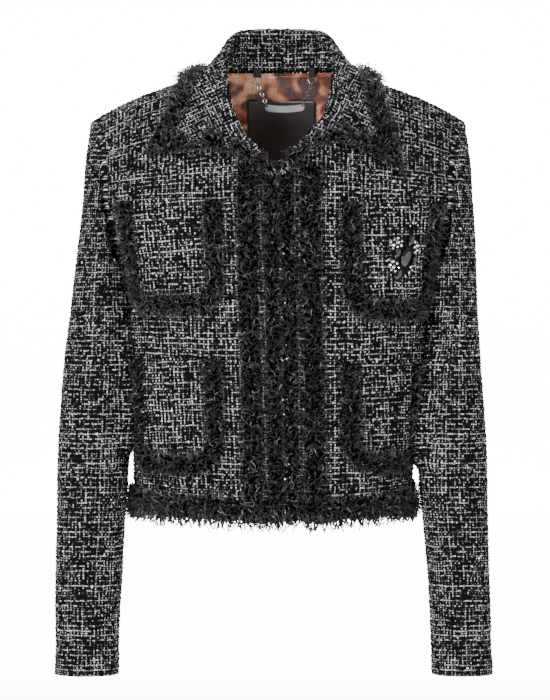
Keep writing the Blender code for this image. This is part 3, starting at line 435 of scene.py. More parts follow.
def walled(made, thickness, facing, raised=False):
    """Give a skin its thickness, with the second material inside."""
    mesh = made.data
    outward(mesh, facing)
    wall = made.modifiers.new("cloth wall", "SOLIDIFY")
    wall.thickness = thickness * MM
    wall.offset = 1 if raised else -1
    wall.material_offset = (-1 if raised else 1) if len(mesh.materials) > 1 else 0
    return settled(made)


def facings(normals, closed=False):
    """One direction for each face of a grid."""
    if closed:
        normals = np.concatenate((normals, normals[:, :1]), axis=1)
    return normals[:-1, :-1].reshape(-1, 3)


def begun(name, kinds):
    """A Geometry Nodes tree with its named inputs: the tree, what it is given and the inputs' identifiers."""
    tree = bpy.data.node_groups.new(name, "GeometryNodeTree")
    sockets = {}
    for label, kind in {"Geometry": "Geometry", **kinds, "Seed": "Int", "Finish": "Material"}.items():
        made = tree.interface.new_socket(label, in_out="INPUT", socket_type="NodeSocket" + kind)
        sockets[label] = made.identifier
    tree.interface.new_socket("Geometry", in_out="OUTPUT", socket_type="NodeSocketGeometry")
    return tree, tree.nodes.new("NodeGroupInput").outputs, sockets


def ended(tree, shape, given):
    """The last nodes of a tree: its finish and its output."""
    shape = add(tree, "GeometryNodeSetMaterial", {"Geometry": shape, "Material": given["Finish"]})
    add(tree, "NodeGroupOutput", {0: shape})


def grown(name, mesh, tree, sockets, values, smooth=True):
    """A mesh with what a tree grows on it, as one plain mesh."""
    made = placed(name, mesh)
    growth = made.modifiers.new(tree.name, "NODES")
    growth.node_group = tree
    for label, value in values.items():
        growth[sockets[label]] = value
    settled(made, smooth)
    return made


def spun(tree, way):
    """A rotation that stands along `way`, with a random turn about it."""
    turned = add(tree, "FunctionNodeAlignRotationToVector", {"Vector": way}, axis="Z")
    spin = add(tree, "FunctionNodeRandomValue", {2: 0.0, 3: 6.283, "Seed": 5}, out=1, data_type="FLOAT")
    spin = add(tree, "FunctionNodeAxisAngleToRotation", {"Axis": (0, 0, 1), "Angle": spin})
    return add(tree, "FunctionNodeRotateRotation", {0: turned, 1: spin}, rotation_space="LOCAL")


def slub_tree():
    """Small lumps scattered over a skin, each keeping the cloth coordinates of its spot."""
    tree, given, sockets = begun("slub_lumps", {"Slubs per Square Metre": "Float", "Size": "Vector"})
    scatter = add(tree, "GeometryNodeDistributePointsOnFaces", {
        "Mesh": given["Geometry"], "Density": given["Slubs per Square Metre"], "Seed": given["Seed"]}).node
    lump = add(tree, "GeometryNodeMeshUVSphere", {"Segments": 4, "Rings": 2, "Radius": 1.0})
    turned = spun(tree, scatter.outputs["Normal"])
    grow = add(tree, "FunctionNodeRandomValue", {2: 0.65, 3: 1.3, "Seed": 9}, out=1, data_type="FLOAT")
    grow = add(tree, "ShaderNodeVectorMath", {0: given["Size"], "Scale": grow}, operation="SCALE")
    lumps = add(tree, "GeometryNodeInstanceOnPoints", {"Points": scatter.outputs["Points"], "Instance": lump,
                                                       "Rotation": turned, "Scale": grow})
    lumps = add(tree, "GeometryNodeRealizeInstances", {"Geometry": lumps})
    spot_on_cloth = add(tree, "GeometryNodeInputNamedAttribute", {"Name": "cloth"}, data_type="FLOAT_VECTOR")
    lumps = add(tree, "GeometryNodeStoreNamedAttribute", {
        "Geometry": lumps, "Name": "cloth", "Value": spot_on_cloth}, data_type="FLOAT2", domain="CORNER")
    ended(tree, lumps, given)
    return tree, sockets


SLUB_TREE = slub_tree()
SLUBS_PER_M2 = 43000.0
SLUB_SIZE = (1.5 * MM, 1.15 * MM, 1.15 * MM)


def slubs(piece, facing, finish, seed, lift=0.0):
    """Slubs standing up from the outer side of a skin, in the colours of the cloth under them."""
    shape = piece.data.copy()
    outward(shape, facing)
    for vertex, normal in zip(shape.vertices, [vertex.normal.copy() for vertex in shape.vertices]):
        vertex.co += normal * lift * MM
    made = grown(piece.name.replace("_cloth", "_slubs"), shape, *SLUB_TREE, {
        "Slubs per Square Metre": SLUBS_PER_M2, "Size": SLUB_SIZE, "Seed": seed, "Finish": finish})
    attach(made, "jacket")


# Tweed: thick black wool with off-white slub yarns, a strong one every 5 to 6 mm both ways and a thin one
# between them. They show in dots and dashes where they pass over the ground, and the nap leaves no gloss.
def tweed_material(name, warp_white, weft_white, turn=0.0, warp_pitch=0.0024, weft_pitch=0.0029):
    made, tree, shader = plain_material(name, "#101012", 0.95)
    shader.inputs["Specular IOR Level"].default_value = 0.0
    flat = add(tree, "ShaderNodeUVMap", uv_map="cloth")
    flat = add(tree, "ShaderNodeMapping", {"Vector": flat, "Rotation": (0, 0, math.radians(turn))})
    moved = flat
    for scale, reach in ((45.0, 0.0036), (260.0, 0.002), (1000.0, 0.0012)):
        wander = add(tree, "ShaderNodeTexNoise", {"Vector": flat, "Scale": scale, "Detail": 1.0}, out=1)
        wander = add(tree, "ShaderNodeVectorMath", {0: wander, 1: (-0.5, -0.5, -0.5)}, operation="ADD")
        wander = add(tree, "ShaderNodeVectorMath", {0: wander, "Scale": reach}, operation="SCALE")
        moved = add(tree, "ShaderNodeVectorMath", {0: moved, 1: wander}, operation="ADD")
    yarns = add(tree, "ShaderNodeVectorMath", {0: moved, 1: (1 / warp_pitch, 1 / weft_pitch, 1)},
                operation="MULTIPLY")
    parts = add(tree, "ShaderNodeSeparateXYZ", {0: yarns}).node
    patches = add(tree, "ShaderNodeTexNoise", {"Vector": flat, "Scale": 60.0, "Detail": 2.0})
    patches = add(tree, "ShaderNodeMapRange", {0: patches, 1: 0.3, 2: 0.7, 3: -0.1, 4: 0.1})
    numbers = [add(tree, "ShaderNodeMath", {0: parts.outputs[k]}, operation="FLOOR") for k in (0, 1)]
    insides = [add(tree, "ShaderNodeMath", {0: parts.outputs[k]}, operation="FRACT") for k in (0, 1)]
    centres = [add(tree, "ShaderNodeMath", {0: part, 1: 0.5}, operation="SUBTRACT") for part in insides]
    centres = [add(tree, "ShaderNodeMath", {0: part}, operation="ABSOLUTE") for part in centres]
    shown = []
    # line across, run along, amount of white, key, half a yarn's width and half a dash, in cells
    for line, run, amount, offset, half, reach in ((0, 1, warp_white, 11.3, 0.27, 0.31),
                                                   (1, 0, weft_white, 47.9, 0.21, 0.36)):
        key = add(tree, "ShaderNodeMath", {0: numbers[line], 1: offset}, operation="ADD")
        lot = add(tree, "ShaderNodeTexWhiteNoise", {"W": key}, noise_dimensions="1D")
        lot = add(tree, "ShaderNodeMath", {0: lot, 1: 0.14, 2: amount}, operation="MULTIPLY_ADD")
        cell = add(tree, "ShaderNodeCombineXYZ", {0: key, 1: numbers[run]})
        cell = add(tree, "ShaderNodeTexWhiteNoise", {"Vector": cell}, noise_dimensions="2D")
        lot = add(tree, "ShaderNodeMath", {0: cell, 1: 0.3, 2: lot}, operation="MULTIPLY_ADD")
        even = add(tree, "ShaderNodeMath", {0: numbers[line], 1: 2.0}, operation="FLOORED_MODULO")
        strong = add(tree, "ShaderNodeMath", {0: even, 1: 0.3, 2: lot}, operation="MULTIPLY_ADD")
        strong = add(tree, "ShaderNodeMath", {0: strong, 1: patches}, operation="ADD")
        place_x = add(tree, "ShaderNodeMath", {0: key, 1: 7.31}, operation="MULTIPLY")
        place_y = add(tree, "ShaderNodeMath", {0: parts.outputs[run], 1: 0.4}, operation="MULTIPLY")
        slub_at = add(tree, "ShaderNodeCombineXYZ", {0: place_x, 1: place_y})
        slub = add(tree, "ShaderNodeTexNoise", {"Vector": slub_at, "Scale": 1.0, "Detail": 2.0,
                                                "Roughness": 0.7})
        level = add(tree, "ShaderNodeMath", {0: slub, 1: strong}, operation="ADD")
        level = add(tree, "ShaderNodeMapRange", {0: level, 1: 0.88, 2: 1.28}, interpolation_type="SMOOTHSTEP")
        thick = add(tree, "ShaderNodeMapRange", {0: centres[line], 1: half + 0.1, 2: half - 0.14})
        long = add(tree, "ShaderNodeMapRange", {0: centres[run], 1: reach + 0.08, 2: reach - 0.14})
        dash = add(tree, "ShaderNodeMath", {0: thick, 1: long}, operation="MULTIPLY")
        shown.append(add(tree, "ShaderNodeMath", {0: dash, 1: level}, operation="MULTIPLY"))
    white = add(tree, "ShaderNodeMath", {0: shown[0], 1: shown[1]}, operation="MAXIMUM")
    hairs = add(tree, "ShaderNodeTexNoise", {"Vector": moved, "Scale": 1500.0, "Detail": 2.0})
    tone = add(tree, "ShaderNodeMapRange", {0: hairs, 1: 0.3, 2: 0.65, 3: 0.4, 4: 1.0})
    white = add(tree, "ShaderNodeMath", {0: white, 1: tone}, operation="MULTIPLY")
    ground = add(tree, "ShaderNodeMix", {"Factor": hairs, 6: colour("#000000"), 7: colour("#161618")},
                 out=2, data_type="RGBA")
    mixed = add(tree, "ShaderNodeMix", {"Factor": white, 6: ground, 7: colour("#ffffff")},
                out=2, data_type="RGBA")
    tree.links.new(mixed, shader.inputs["Base Color"])
    rounds = [add(tree, "ShaderNodeMapRange", {0: part, 1: 0.5, 2: 0.1}) for part in centres]
    relief = add(tree, "ShaderNodeMath", {0: rounds[0], 1: rounds[1]}, operation="MULTIPLY")
    relief = add(tree, "ShaderNodeMath", {0: white, 1: relief}, operation="ADD")
    relief = add(tree, "ShaderNodeMath", {0: relief, 1: hairs}, operation="ADD")
    bump = add(tree, "ShaderNodeBump", {"Strength": 0.8, "Distance": 0.0007, "Height": relief})
    tree.links.new(bump, shader.inputs["Normal"])
    return made


def fine_relief(tree, shader, scale, strength, distance):
    """A weave too fine to model, as relief on the shader."""
    place = add(tree, "ShaderNodeTexCoord", out=3)
    weave = add(tree, "ShaderNodeTexNoise", {"Vector": place, "Scale": scale, "Detail": 1.0})
    tree.links.new(add(tree, "ShaderNodeBump", {"Strength": strength, "Distance": distance, "Height": weave}),
                   shader.inputs["Normal"])


# Printed satin: a common big-cat fur print, peach with rust strokes and dark blotches, on a smooth weave
# with a soft gloss.
def printed_satin():
    made, tree, shader = plain_material("printed_satin_lining", "#cd9f84", 0.42)
    shader.inputs["Sheen Weight"].default_value = 0.2
    shader.inputs["Coat Weight"].default_value = 0.06
    place = add(tree, "ShaderNodeTexCoord", out=3)
    bend = add(tree, "ShaderNodeTexNoise", {"Vector": place, "Scale": 22.0, "Detail": 2.0}, out=1)
    bend = add(tree, "ShaderNodeVectorMath", {0: bend, "Scale": 0.035}, operation="SCALE")
    bent = add(tree, "ShaderNodeVectorMath", {0: place, 1: bend}, operation="ADD")
    bent = add(tree, "ShaderNodeMapping", {"Vector": bent, "Location": (0.006, 0, 0.011),
                                           "Scale": (1.0, 0.5, 0.8)})
    blotch = add(tree, "ShaderNodeTexNoise", {"Vector": bent, "Scale": 50.0, "Detail": 1.0})
    fur_at = add(tree, "ShaderNodeMapping", {"Vector": place, "Rotation": (0, 0.35, 0),
                                             "Scale": (900, 300, 150)})
    fur = add(tree, "ShaderNodeTexNoise", {"Vector": fur_at, "Scale": 1.0, "Detail": 3.0, "Distortion": 1.2})
    fur_shift = add(tree, "ShaderNodeMath", {0: fur, 1: 0.5}, operation="SUBTRACT")
    fur_shift = add(tree, "ShaderNodeMath", {0: fur_shift, 1: 0.2}, operation="MULTIPLY")
    depth = add(tree, "ShaderNodeMath", {0: blotch, 1: fur_shift}, operation="ADD")
    print_tone = add(tree, "ShaderNodeValToRGB", {0: depth}, stops=(
        (0.3, "#070610"), (0.41, "#0f0b18"), (0.45, "#4a1b0c"), (0.49, "#8a3f20"), (0.55, "#cf8f69"),
        (0.7, "#f0bd9b")))
    strokes = add(tree, "ShaderNodeMapRange", {0: fur, 1: 0.52, 2: 0.6, 3: 0.0, 4: 0.8})
    mixed = add(tree, "ShaderNodeMix", {"Factor": strokes, 6: print_tone, 7: colour("#7a3c22")},
                out=2, data_type="RGBA")
    tree.links.new(mixed, shader.inputs["Base Color"])
    fine_relief(tree, shader, 1800.0, 0.15, 0.0002)
    return made


tweed = tweed_material("black_white_tweed", -0.03, -0.03)
satin = printed_satin()
SHARES = np.linspace(0, 1, 46)
# Folds fade out over a ninth of the width at a side seam, and over six rows at the top.
SIDE_FADE, TOP_FADE = 9, 6
# x0, z0, x1, z1, width, rise
FRONT_FOLDS = {
    -1: ((-150, -212, -88, -186, 11, -2.2), (-156, -232, -100, -228, 12, 1.6),
         (-152, -300, -96, -322, 13, -1.6), (-148, -350, -104, -340, 12, 1.3),
         (-112, -482, -104, -392, 15, 1.7), (-84, -484, -88, -452, 12, -1.6),
         (-132, -470, -128, -400, 13, -1.8), (-52, -484, -49, -430, 9, 1.0),
         (-100, -60, -150, -130, 16, -1.2)),
    1: ((152, -210, 92, -190, 11, -2.0), (154, -236, 104, -224, 12, 1.5), (154, -296, 98, -310, 13, -1.7),
        (148, -352, 100, -350, 13, 1.4), (104, -482, 98, -400, 16, 1.8), (126, -474, 121, -396, 12, -1.7),
        (74, -485, 70, -448, 12, -1.3), (54, -485, 52, -436, 9, 1.1), (104, -64, 152, -128, 16, -1.1)),
}
BACK_FOLDS = (
    (-156, -208, -92, -170, 13, -2.4), (-150, -238, -84, -220, 14, 1.9), (158, -208, 90, -164, 13, -2.3),
    (150, -236, 80, -226, 14, 2.0), (2, -190, -4, -400, 20, -2.2), (-66, -484, -58, -340, 18, 1.9),
    (-112, -480, -100, -396, 15, -2.0), (70, -482, 60, -352, 18, 1.7), (112, -480, 104, -390, 15, -1.9),
    (-30, -484, -26, -420, 13, -1.4), (34, -484, 30, -410, 13, 1.5), (-70, -30, -120, -90, 18, -1.4),
    (72, -34, 118, -92, 18, -1.3), (-60, -300, 60, -296, 16, 1.2), (-90, -330, 84, -338, 15, -1.5),
)


def creased(rows, facing, folds, from_seam):
    """A panel with its folds, which fade out towards the seams, and its normals."""
    fade = np.clip(from_seam * SIDE_FADE, 0, 1)[None, :]
    fade = fade * np.clip(np.arange(len(rows))[::-1] / TOP_FADE, 0, 1)[:, None]
    rows = pressed(rows, grid_normals(rows, facing), rows[..., (0, 2)], folds, fade)
    return rows, grid_normals(rows, facing)


def panel_uv(points, signed_start, side=1):
    """Cloth coordinates: along each row from the centre, and up a middle column from the hem."""
    across = np.array([lengths(row) for row in points])
    up = lengths(points[:, points.shape[1] // 3])
    return np.stack((side * (across + signed_start[:, None]), np.repeat(up[:, None], points.shape[1], 1)),
                    axis=-1)


fronts = {}
for side, name in ((-1, "front_right"), (1, "front_left")):
    points = np.array([half_row(level, side, -1, SHARES) for level in LEVELS])
    fronts[side] = points, normals = creased(points, (side * 0.5, -1, 0), FRONT_FOLDS[side], 1 - SHARES)
    uv = panel_uv(points, np.abs(points[:, 0, 0]), side)
    panel = skin(name + "_cloth", points, uv, (tweed, satin))
    slubs(panel, facings(normals), tweed, 60 + side)
    walled(panel, CLOTH, facings(normals))
    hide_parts(name)
    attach(panel, "jacket")

back_points = np.array([np.concatenate((half_row(level, -1, 1, SHARES)[:0:-1], half_row(level, 1, 1, SHARES)))
                        for level in LEVELS])
from_seam = 1 - np.abs(np.linspace(-1, 1, back_points.shape[1]))
back_points, back_normals = creased(back_points, (0, 1, 0), BACK_FOLDS, from_seam)
back_middle = back_points.shape[1] // 2
back_start = -np.array([lengths(row)[back_middle] for row in back_points])
panel = skin("back_panel_cloth", back_points, panel_uv(back_points, back_start), (tweed, satin))
slubs(panel, facings(back_normals), tweed, 63)
walled(panel, CLOTH, facings(back_normals))
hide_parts("back_panel")
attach(panel, "jacket")


# ---------------------------------------------------------------- Sleeves
# One-piece set-in sleeves of the same tweed lined with black satin, slim and full length. They hang almost
# straight from the armholes, with soft breaks at the elbow and a few ripples above the cuff.
SLEEVE_CLOTH = 2.6
ARMHOLE_SEAM = 0.5
SLEEVE_CLEAR = 1.6
CROWN_OUT = 6.0
SLEEVE_ROUND = 2.2
# outer_z, inner_z, half_depth, centre_y, then outer_x and inner_x of the right sleeve and of the left
SLEEVES = (
    (-72, -208, 64, 0, 206.5, 173.5, 206.5, 174.5), (-100, -211, 64, -1, 210.5, 176.5, 210.5, 177.5),
    (-135, -226, 64, -2, 213, 172, 213, 173), (-178, -244, 63, -3, 217.5, 170, 216, 171),
    (-225, -270, 62, -5, 223, 168, 217.5, 169), (-275, -302, 60, -8, 229, 164, 219.5, 166),
    (-330, -342, 58, -12, 235, 162, 222.5, 161), (-388, -392, 56, -18, 239.5, 162, 227, 156),
    (-445, -446, 53, -25, 241, 164, 228.5, 154), (-500, -500, 50, -32, 241.5, 167, 229.3, 158.5),
    (-555, -555, 47, -38, 242, 170, 230, 163.5), (-608, -608, 44, -43, 242, 172.5, 231.5, 165.5),
    (-659.5, -659.5, 42, -48, 242, 173, 233, 167),
)
# share of the way round from the outer line by the front (in mm of a 250 mm round), z, then to the same,
# width and rise
SLEEVE_FOLDS = (
    (120, -268, 70, -318, 11, -1.4), (130, -300, 60, -352, 12, 1.3), (118, -335, 66, -372, 10, -1.6),
    (126, -372, 74, -392, 11, 1.5), (116, -398, 50, -425, 12, -1.5), (30, -360, 86, -390, 12, 1.0),
    (100, -470, 40, -498, 13, 1.1), (86, -520, 20, -545, 12, -1.2), (110, -560, 60, -590, 12, 1.2),
    (70, -612, 10, -628, 12, -1.1), (150, -300, 200, -350, 14, -1.8), (140, -345, 205, -392, 14, 1.7),
    (150, -395, 210, -420, 12, -1.7), (160, -470, 225, -500, 14, 1.3), (150, -560, 215, -590, 14, -1.3),
    (10, -150, 40, -240, 15, -1.0), (205, -140, 190, -240, 16, -1.4), (60, -170, 92, -238, 14, 1.0),
)
SLEEVE_TURN = 250.0
SLEEVE_ROWS = 170
# Folds grow over the rows below the armhole, and are slight on the inner side where the sleeve hangs close.
CROWN_FADE, CLOSE_HALF, CLOSE_Z, CLOSE_SHARE = 14, 26, -470, 0.15
# The fullness that lies against the body, ahead of the inner line.
LEAN_AT, LEAN_WIDTH, LEAN_DEPTH = 110.0, 13.0, 13.0
BODY_CLEAR = 1.3


def body_side(y, z, side):
    """How far out the body stands at a depth and a height below the chest."""
    _, half, centre, front, back = read(TORSO, z)
    share = min(abs(y) / (front if y < 0 else back), 1)
    return centre + side * half * (1 - share ** BODY_ROUND) ** (1 / BODY_ROUND)


def armhole(side):
    """The armhole as a loop: shoulder tip, front edge, underarm, back edge, with the way out of the shell."""
    front_grid, front_facing = fronts[side]
    column = -1 if side > 0 else 0
    rows = range(len(LEVELS) - 1, BELOW_ROWS - 1, -1)
    ahead = [(front_grid[row][-1], front_facing[row][-1]) for row in rows]
    behind = [(back_points[row][column], back_normals[row][column]) for row in rows]
    loop = []
    for step, (one, other) in enumerate(zip(ahead, behind)):
        if step in (0, len(ahead) - 1):
            loop.append((0.5 * (one[0] + other[0]), one[1] + other[1]))
        else:
            loop.append(one)
    loop += behind[-2:0:-1]
    points = np.array([point for point, _ in loop])
    normals = np.array([normal / np.linalg.norm(normal) for _, normal in loop])
    edges = np.roll(points, -1, axis=0) - np.roll(points, 1, axis=0)
    out = np.cross(edges, normals)
    out /= np.linalg.norm(out, axis=1, keepdims=True)
    return (points, -out) if out[0][0] * side < 0 else (points, out)


def sleeve_rings(side):
    """The armhole, a ring just outside it, and one for each row of the table, from shoulder to cuff."""
    points, out = armhole(side)
    count = len(points)
    rings = [points + out * ARMHOLE_SEAM, points + out * CROWN_OUT]
    for outer_z, inner_z, half_depth, centre_y, *across in SLEEVES:
        outer_x, inner_x = across[:2] if side < 0 else across[2:]
        body_x = side * section(inner_z, side, 0)[0] if inner_z > HEM_SIDE_Z else 0.0
        inner_x = max(inner_x, body_x + SLEEVE_CLEAR)
        outer = np.array((side * outer_x, centre_y, outer_z))
        inner = np.array((side * inner_x, centre_y, inner_z))
        ring = []
        for step in range(count):
            turn = 2 * math.pi * step / count
            lean = power_of(math.cos(turn), 2 / SLEEVE_ROUND)
            ahead = power_of(math.sin(turn), 2 / SLEEVE_ROUND)
            point = 0.5 * (outer + inner) + 0.5 * (outer - inner) * lean
            ring.append(point + np.array((0, -half_depth * ahead, 0)))
        rings.append(np.array(ring))
    return np.array(rings)


def curved(rows, count):
    """More rows on smooth curves through the given ones, evenly along their mean length."""
    keys = lengths(rows.mean(axis=1))
    return np.array([on_curve(rows, keys, at) for at in np.linspace(0, keys[-1], count)])


# Sleeve satin: plain black lining with a fine weave and a soft gloss.
black_satin, tree, shader = plain_material("black_satin_lining", "#121214", 0.35)
shader.inputs["Sheen Weight"].default_value = 0.2
fine_relief(tree, shader, 1600.0, 0.2, 0.0002)
sleeve_tweed = tweed_material("black_white_tweed_sleeve", -0.03, -0.02, 0.0, 0.0023, 0.0027)

# side, hand and the height down to which the sleeve's fullness rests against the body
for side, hand, rest_z in ((-1, "right", -426), (1, "left", -442)):
    points = curved(sleeve_rings(side)[:, ::2], SLEEVE_ROWS)
    normals = grid_normals(points, closed=True)
    turns = np.arange(points.shape[1]) / points.shape[1] * SLEEVE_TURN
    flat = np.stack((np.repeat(turns[None, :], len(points), 0), points[..., 2]), axis=-1)
    fade = np.clip(np.arange(len(points)) / CROWN_FADE, 0, 1)[:, None] * np.ones((1, points.shape[1]))
    close = np.abs(flat[..., 0] - SLEEVE_TURN / 2) < CLOSE_HALF
    fade[close & (points[..., 2] > CLOSE_Z)] *= CLOSE_SHARE
    points = pressed(points, normals, flat, SLEEVE_FOLDS, fade)
    lean_in = np.exp(-((flat[..., 0] - LEAN_AT) / LEAN_WIDTH) ** 2)
    lean_in *= (np.clip((points[..., 2] - rest_z) / 16, 0, 1)
                * np.clip((UNDERARM_Z + 8 - points[..., 2]) / 10, 0, 1))
    points = points + normals * (lean_in * LEAN_DEPTH)[..., None]
    for row in points:
        for point in row:
            if HEM_SIDE_Z < point[2] < UNDERARM_Z and side * point[0] < 190:
                beside = side * body_side(point[1], point[2], side) + BODY_CLEAR
                point[0] = side * max(side * point[0], beside)
    normals = grid_normals(points, closed=True)
    around = np.linspace(0, 1, points.shape[1] + 1) * SLEEVE_TURN
    drop = np.concatenate((points[..., 2], points[:, :1, 2]), axis=1)
    uv = np.stack((np.repeat(around[None, :], len(points), 0), drop * 1.02), axis=-1)
    sleeve = skin(f"sleeve_{hand}_cloth", points, uv, (sleeve_tweed, black_satin), closed=True)
    slubs(sleeve, facings(normals, closed=True), sleeve_tweed, 66 + side)
    walled(sleeve, SLEEVE_CLOTH, facings(normals, closed=True))
    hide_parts(f"sleeve_{hand}")
    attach(sleeve, "jacket")


# ---------------------------------------------------------------- Collar
# A stand and a fall cut in one, folded over at the roll, with two large points. The undercollar is the same
# tweed, and the fall lies on the fronts and the shoulders.
COLLAR_CLOTH = 2.0
COLLAR_LIFT = 4.6
# seam_z, roll_x, roll_z, edge_x, edge_z
RIGHT_LEAF = (
    (-122, 3.5, -121.0, 9, -119), (-112, 9, -108, 24, -104), (-101, 16.5, -97, 50, -94.5),
    (-91, 26, -87, 82, -92), (-80, 34, -77.5, 113, -96), (-70, 40, -66, 141, -98),
    (-59, 46, -54, 130, -75), (-46, 51, -39, 117, -50), (-30, 53, -22, 109, -30),
    (-13, 54.5, -7, 107, -19),
)
LEFT_LEAF = (
    (-122, 3.5, -120.5, 9, -117.5), (-112, 8.5, -107.5, 18, -104), (-100, 16, -94.5, 31, -91),
    (-87, 27, -82, 48, -84.5), (-75, 36, -72, 73, -86), (-64, 44, -62, 101, -99.5),
    (-54, 50, -53.5, 132, -116), (-43, 54.5, -42, 125, -84), (-29, 57, -26, 114, -45),
    (-13, 57.5, -9, 109, -20.5),
)
# seam_x, seam_over, roll_x, roll_y, roll_z, edge_x, edge_over
COLLAR_BACK = (
    (61, -13, 56.5, -32, 4, 106, -10), (62, 0, 56, -8, 21, 104, 0), (55, 9, 52, 15, 35, 99, 11),
    (43, 18, 42, 36, 45, 84, 22), (24, 27, 25, 53, 49, 51, 33), (0, 30, 0, 60, 50, 0, 39),
)
FALL_SHARES = (0.05, 0.1, 0.17, 0.25, 0.35, 0.45, 0.57, 0.7, 0.85, 1.0)
# Stations of the two points, of 31 in all, and columns of the finished grid.
RIGHT_TIP, LEFT_TIP = 5, 24
COLLAR_COLUMNS = 241
# The row of the grid on which the collar folds over.
ROLL_ROW = 8


def collar_stations(side, leaf):
    """Seam x and angle, roll, edge x and angle, from the closure to the centre back, in one row each."""
    stations = []
    for seam_z, roll_x, roll_z, edge_x, edge_z in leaf:
        seam_x = neckline_x(seam_z, side)
        angle = over_angle(side * roll_x, roll_z, -1)
        roll = over(side * roll_x, angle) + over_normal(side * roll_x, angle) * 5.5
        stations.append((seam_x, over_angle(seam_x, seam_z, -1), *roll,
                         side * edge_x, over_angle(side * edge_x, edge_z, -1)))
    for seam_x, seam_over, roll_x, roll_y, roll_z, edge_x, edge_over in COLLAR_BACK:
        x = side * seam_x + NECK_SHIFT
        if seam_over > 0:
            seam_over = 90 - back_rise(x)
        stations.append((x, seam_over, side * roll_x + NECK_SHIFT, roll_y, roll_z,
                         side * edge_x + NECK_SHIFT, edge_over))
    return stations


def collar_row(station, before, after):
    """The visible face of the collar at one station."""
    seam_x, seam_over, edge_x, edge_over = station[0], station[1], station[5], station[6]
    roll = station[2:5]
    seam = over(seam_x, seam_over)
    seam_normal = over_normal(seam_x, seam_over)
    along = after[2:5] - before[2:5]
    along /= np.linalg.norm(along)
    rising = roll - seam
    rising -= along * np.dot(rising, along)
    rising /= np.linalg.norm(rising)
    out = over(edge_x, edge_over) - roll
    out -= along * np.dot(out, along) + rising * np.dot(out, rising)
    out /= np.linalg.norm(out)
    stand = seam - out * (COLLAR_CLOTH + 1.4) + rising * 0.8
    crest = roll + out * 3.6 + rising * 1.8
    shoulder = roll + out * 6.6 + rising * 0.4
    base = seam + seam_normal * COLLAR_LIFT
    row = [stand, 0.5 * (stand + roll) - out * 0.5, roll, crest]
    for share in FALL_SHARES:
        x = seam_x + (edge_x - seam_x) * share
        angle = seam_over + (edge_over - seam_over) * share
        lying = over(x, angle) + over_normal(x, angle) * COLLAR_LIFT
        row.append(lying + (shoulder - base) * (1 - share) ** 2.2)
    return np.array(row)


coarse = collar_stations(-1, RIGHT_LEAF)
coarse = np.array(coarse + collar_stations(1, LEFT_LEAF)[-2::-1])
numbered = tuple((number, *station) for number, station in enumerate(coarse))
fine = []
for at in np.linspace(0, len(coarse) - 1, COLLAR_COLUMNS):
    straight = between(at, np.arange(len(coarse)), coarse)
    fine.append(np.concatenate((read(numbered, at)[1:6], straight[5:])))
fine = np.array(fine)
collar_rows = []
for number, station in enumerate(fine):
    before = fine[max(number - 3, 0)]
    after = fine[min(number + 3, len(fine) - 1)]
    profile = collar_row(station, before, after)
    keys = lengths(profile)
    collar_rows.append([on_curve(profile, keys, at) for at in np.linspace(0, keys[-1], 34)])
collar_points = np.array(collar_rows).transpose(1, 0, 2)
collar_normals = grid_normals(collar_points, (0, 1, 0.2))
along_roll = lengths(collar_points[ROLL_ROW])
along_roll -= along_roll[-1] / 2
across_fall = np.array([lengths(column) for column in collar_points.transpose(1, 0, 2)]).T
collar_uv = np.stack((np.repeat(along_roll[None, :], len(collar_points), 0), across_fall), axis=-1)
collar_tweed = tweed_material("black_white_tweed_collar", -0.04, -0.03, 0.0, 0.0022, 0.0027)
collar = skin("collar_cloth", collar_points, collar_uv, (collar_tweed,))
# The leaves' yarns run aslant.
LEAF_GRAIN = math.radians(-24.0)
LEAF_SCALE = 1.3
leaf_layer = collar.data.uv_layers["cloth"]
for face in collar.data.polygons:
    middle = face.center / MM
    if middle.y < -20 and face.index // (collar_points.shape[1] - 1) > 7:
        for loop in face.loop_indices:
            point = collar.data.vertices[collar.data.loops[loop].vertex_index].co
            grain = math.copysign(LEAF_GRAIN, point.x)
            leaf_layer.data[loop].uv = (LEAF_SCALE * (point.x * math.cos(grain) - point.z * math.sin(grain)),
                                        LEAF_SCALE * (point.x * math.sin(grain) + point.z * math.cos(grain)))
slubs(collar, facings(collar_normals), collar_tweed, 69)
walled(collar, COLLAR_CLOTH, facings(collar_normals))
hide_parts("collar")
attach(collar, "jacket")


# ---------------------------------------------------------------- Pockets
# Four patch pockets of the same tweed, square above and rounded below, sewn on close to the fronts. The
# yarns of each run a little off those of the front.
LAID_ON = 0.9
POCKET_CLOTH = 2.0
POCKET_CORNER = 32.0
# name, side, inner_x, top_z, width, depth
POCKETS = (
    ("chest_right", -1, 60, -147, 118, 120), ("chest_left", 1, 70, -149, 116, 124),
    ("hip_right", -1, 60, -317, 116, 122), ("hip_left", 1, 70, -322, 106, 116),
)
REACH_STEP = 2.0


def ruled(panel):
    """A panel's points and normals at even reaches along the cloth from its first edge."""
    points, normals = panel
    both = np.concatenate((points, normals), axis=2)
    reaches = np.arange(0, 420, REACH_STEP)
    return np.array([between(reaches, lengths(row[:, :3]), row) for row in both])


def spot(ruler, reach, z, lift=0.0):
    """A point on a panel and its normal, `reach` mm along the cloth from its first edge, at a height."""
    at = min(max(reach / REACH_STEP, 0), ruler.shape[1] - 1.001)
    low = int(at)
    column = ruler[:, low] * (1 - at + low) + ruler[:, low + 1] * (at - low)
    found = between(z, column[:, 2], column)
    normal = found[3:] / np.linalg.norm(found[3:])
    return found[:3] + normal * lift, normal


def reach_to(ruler, x, z):
    """How far along the cloth a panel's point lies whose x is given."""
    low, high = 0.0, 400.0
    rising = ruler[0, 40, 0] > ruler[0, 0, 0]
    for _ in range(26):
        middle = 0.5 * (low + high)
        past = (spot(ruler, middle, z)[0][0] > x) == rising
        low, high = (low, middle) if past else (middle, high)
    return 0.5 * (low + high)


